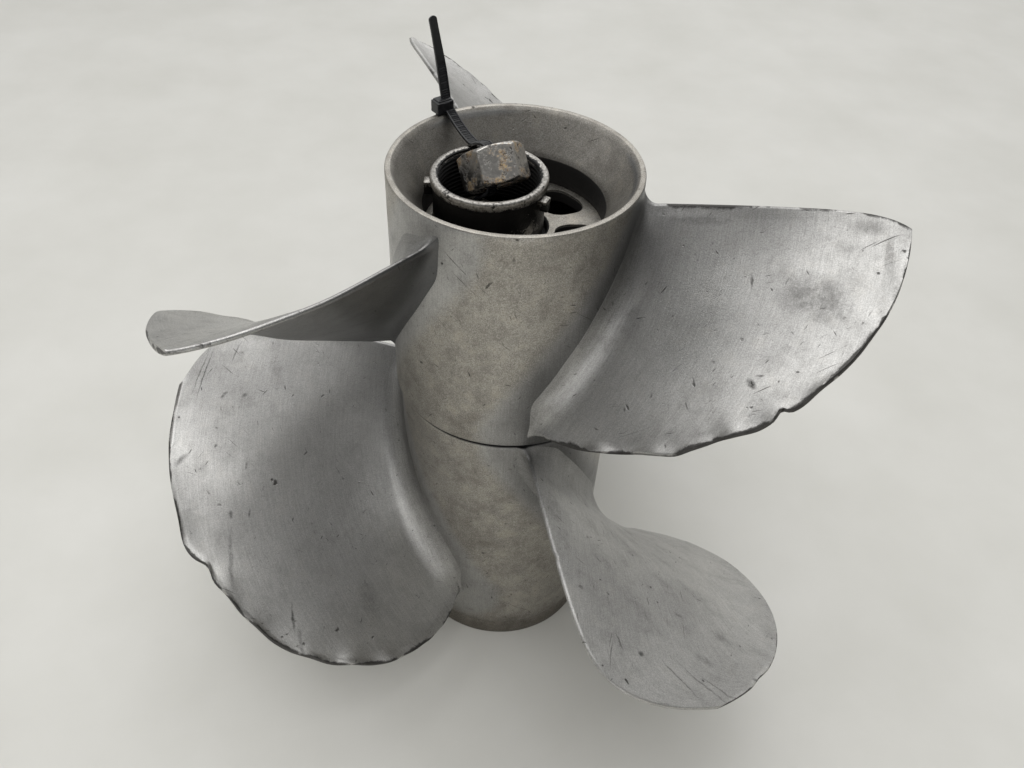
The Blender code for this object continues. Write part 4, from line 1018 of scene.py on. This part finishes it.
# The strap: a rounded flat section, with fine teeth across the middle of its upper side, its free end
# narrowed and rounded
def strapMesh(values):
    path, at = smoothRoute(strapRoute(), values["step"])
    ahead = np.gradient(path, axis=0)
    ahead = ahead / np.linalg.norm(ahead, axis=1, keepdims=True)
    across = sideways - ahead * (ahead @ sideways)[:, None]
    across = across / np.linalg.norm(across, axis=1, keepdims=True)
    up = np.cross(ahead, across)
    half, thick = values["width"] / 2, values["thick"] / 2
    x = np.array([-1, -0.93, -0.78, -0.74, -0.70, -0.5, 0, 0.5, 0.70, 0.74, 0.78, 0.93, 1, 1, 0.93, 0.5, 0,
                  -0.5, -0.93, -1])
    y = np.array([0.7] + [1] * 11 + [0.7, -0.7] + [-1] * 5 + [-0.7])
    left = at[-1] - at
    narrow = 1 - 0.22 * smoothStep(-left, -30 * mm, -4 * mm)
    near = np.clip(left / (1.6 * mm), 0, 1)
    close = np.sqrt(near * (2 - near))
    scale = (narrow * np.maximum(close, 0.03))[:, None]
    tooth = np.abs(2 * ((at / values["tooth"]) % 1) - 1)[:, None]
    inner = ((np.abs(x) < 0.72) & (y > 0))[None]
    toothed = smoothStep(left, 20 * mm, 22 * mm)[:, None]
    height = y[None] * thick - inner * toothed * (0.12 * mm + 0.30 * mm * smoothStep(tooth, 0.2, 0.8))
    wide = x[None] * half * scale
    height = height * np.maximum(close, 0.3)[:, None]
    points = path[:, None] + across[:, None] * wide[..., None] + up[:, None] * height[..., None]
    ends = np.array([path[0], path[-1]])
    faces = [gridFaces(len(path), len(x), closeColumns=True, flip=True)] + capFaces(len(path), len(x), True)
    return makeMesh("tieStrap", np.concatenate([points.reshape(-1, 3), ends]), faces, 38)


makePiece("tieStrap", strapMesh(tieShape), "rear", "cable_tie", nylon)
# The head stands on the rim: a box, a smaller one on it and the tongue's ridge, with half sizes, corner and
# shift in millimetres
headCentre = outward * hub + np.array([0, 0, 0.2835])
headFrame = np.array([-sideways, outward, (0, 0, 1.0)])
headShells = []
for half, corner, shift in (((4.3, 3.1, 2.9), 0.6, (0, 0, -0.3)), ((3.5, 2.5, 0.9), 0.4, (0, 0, 2.3)),
                            ((1.6, 0.5, 2.2), 0.3, (0, -2.9, 0.2))):
    centre = headCentre + np.array(shift) * mm @ headFrame
    points, faces = blockMesh(tuple(h * mm for h in half), corner * mm, centre, headFrame)
    headShells.append((points, faces, np.zeros(len(points))))
makePiece("tieHead", joinedMesh("tieHead", headShells, 40, "edge"), "rear", "cable_tie", nylon)
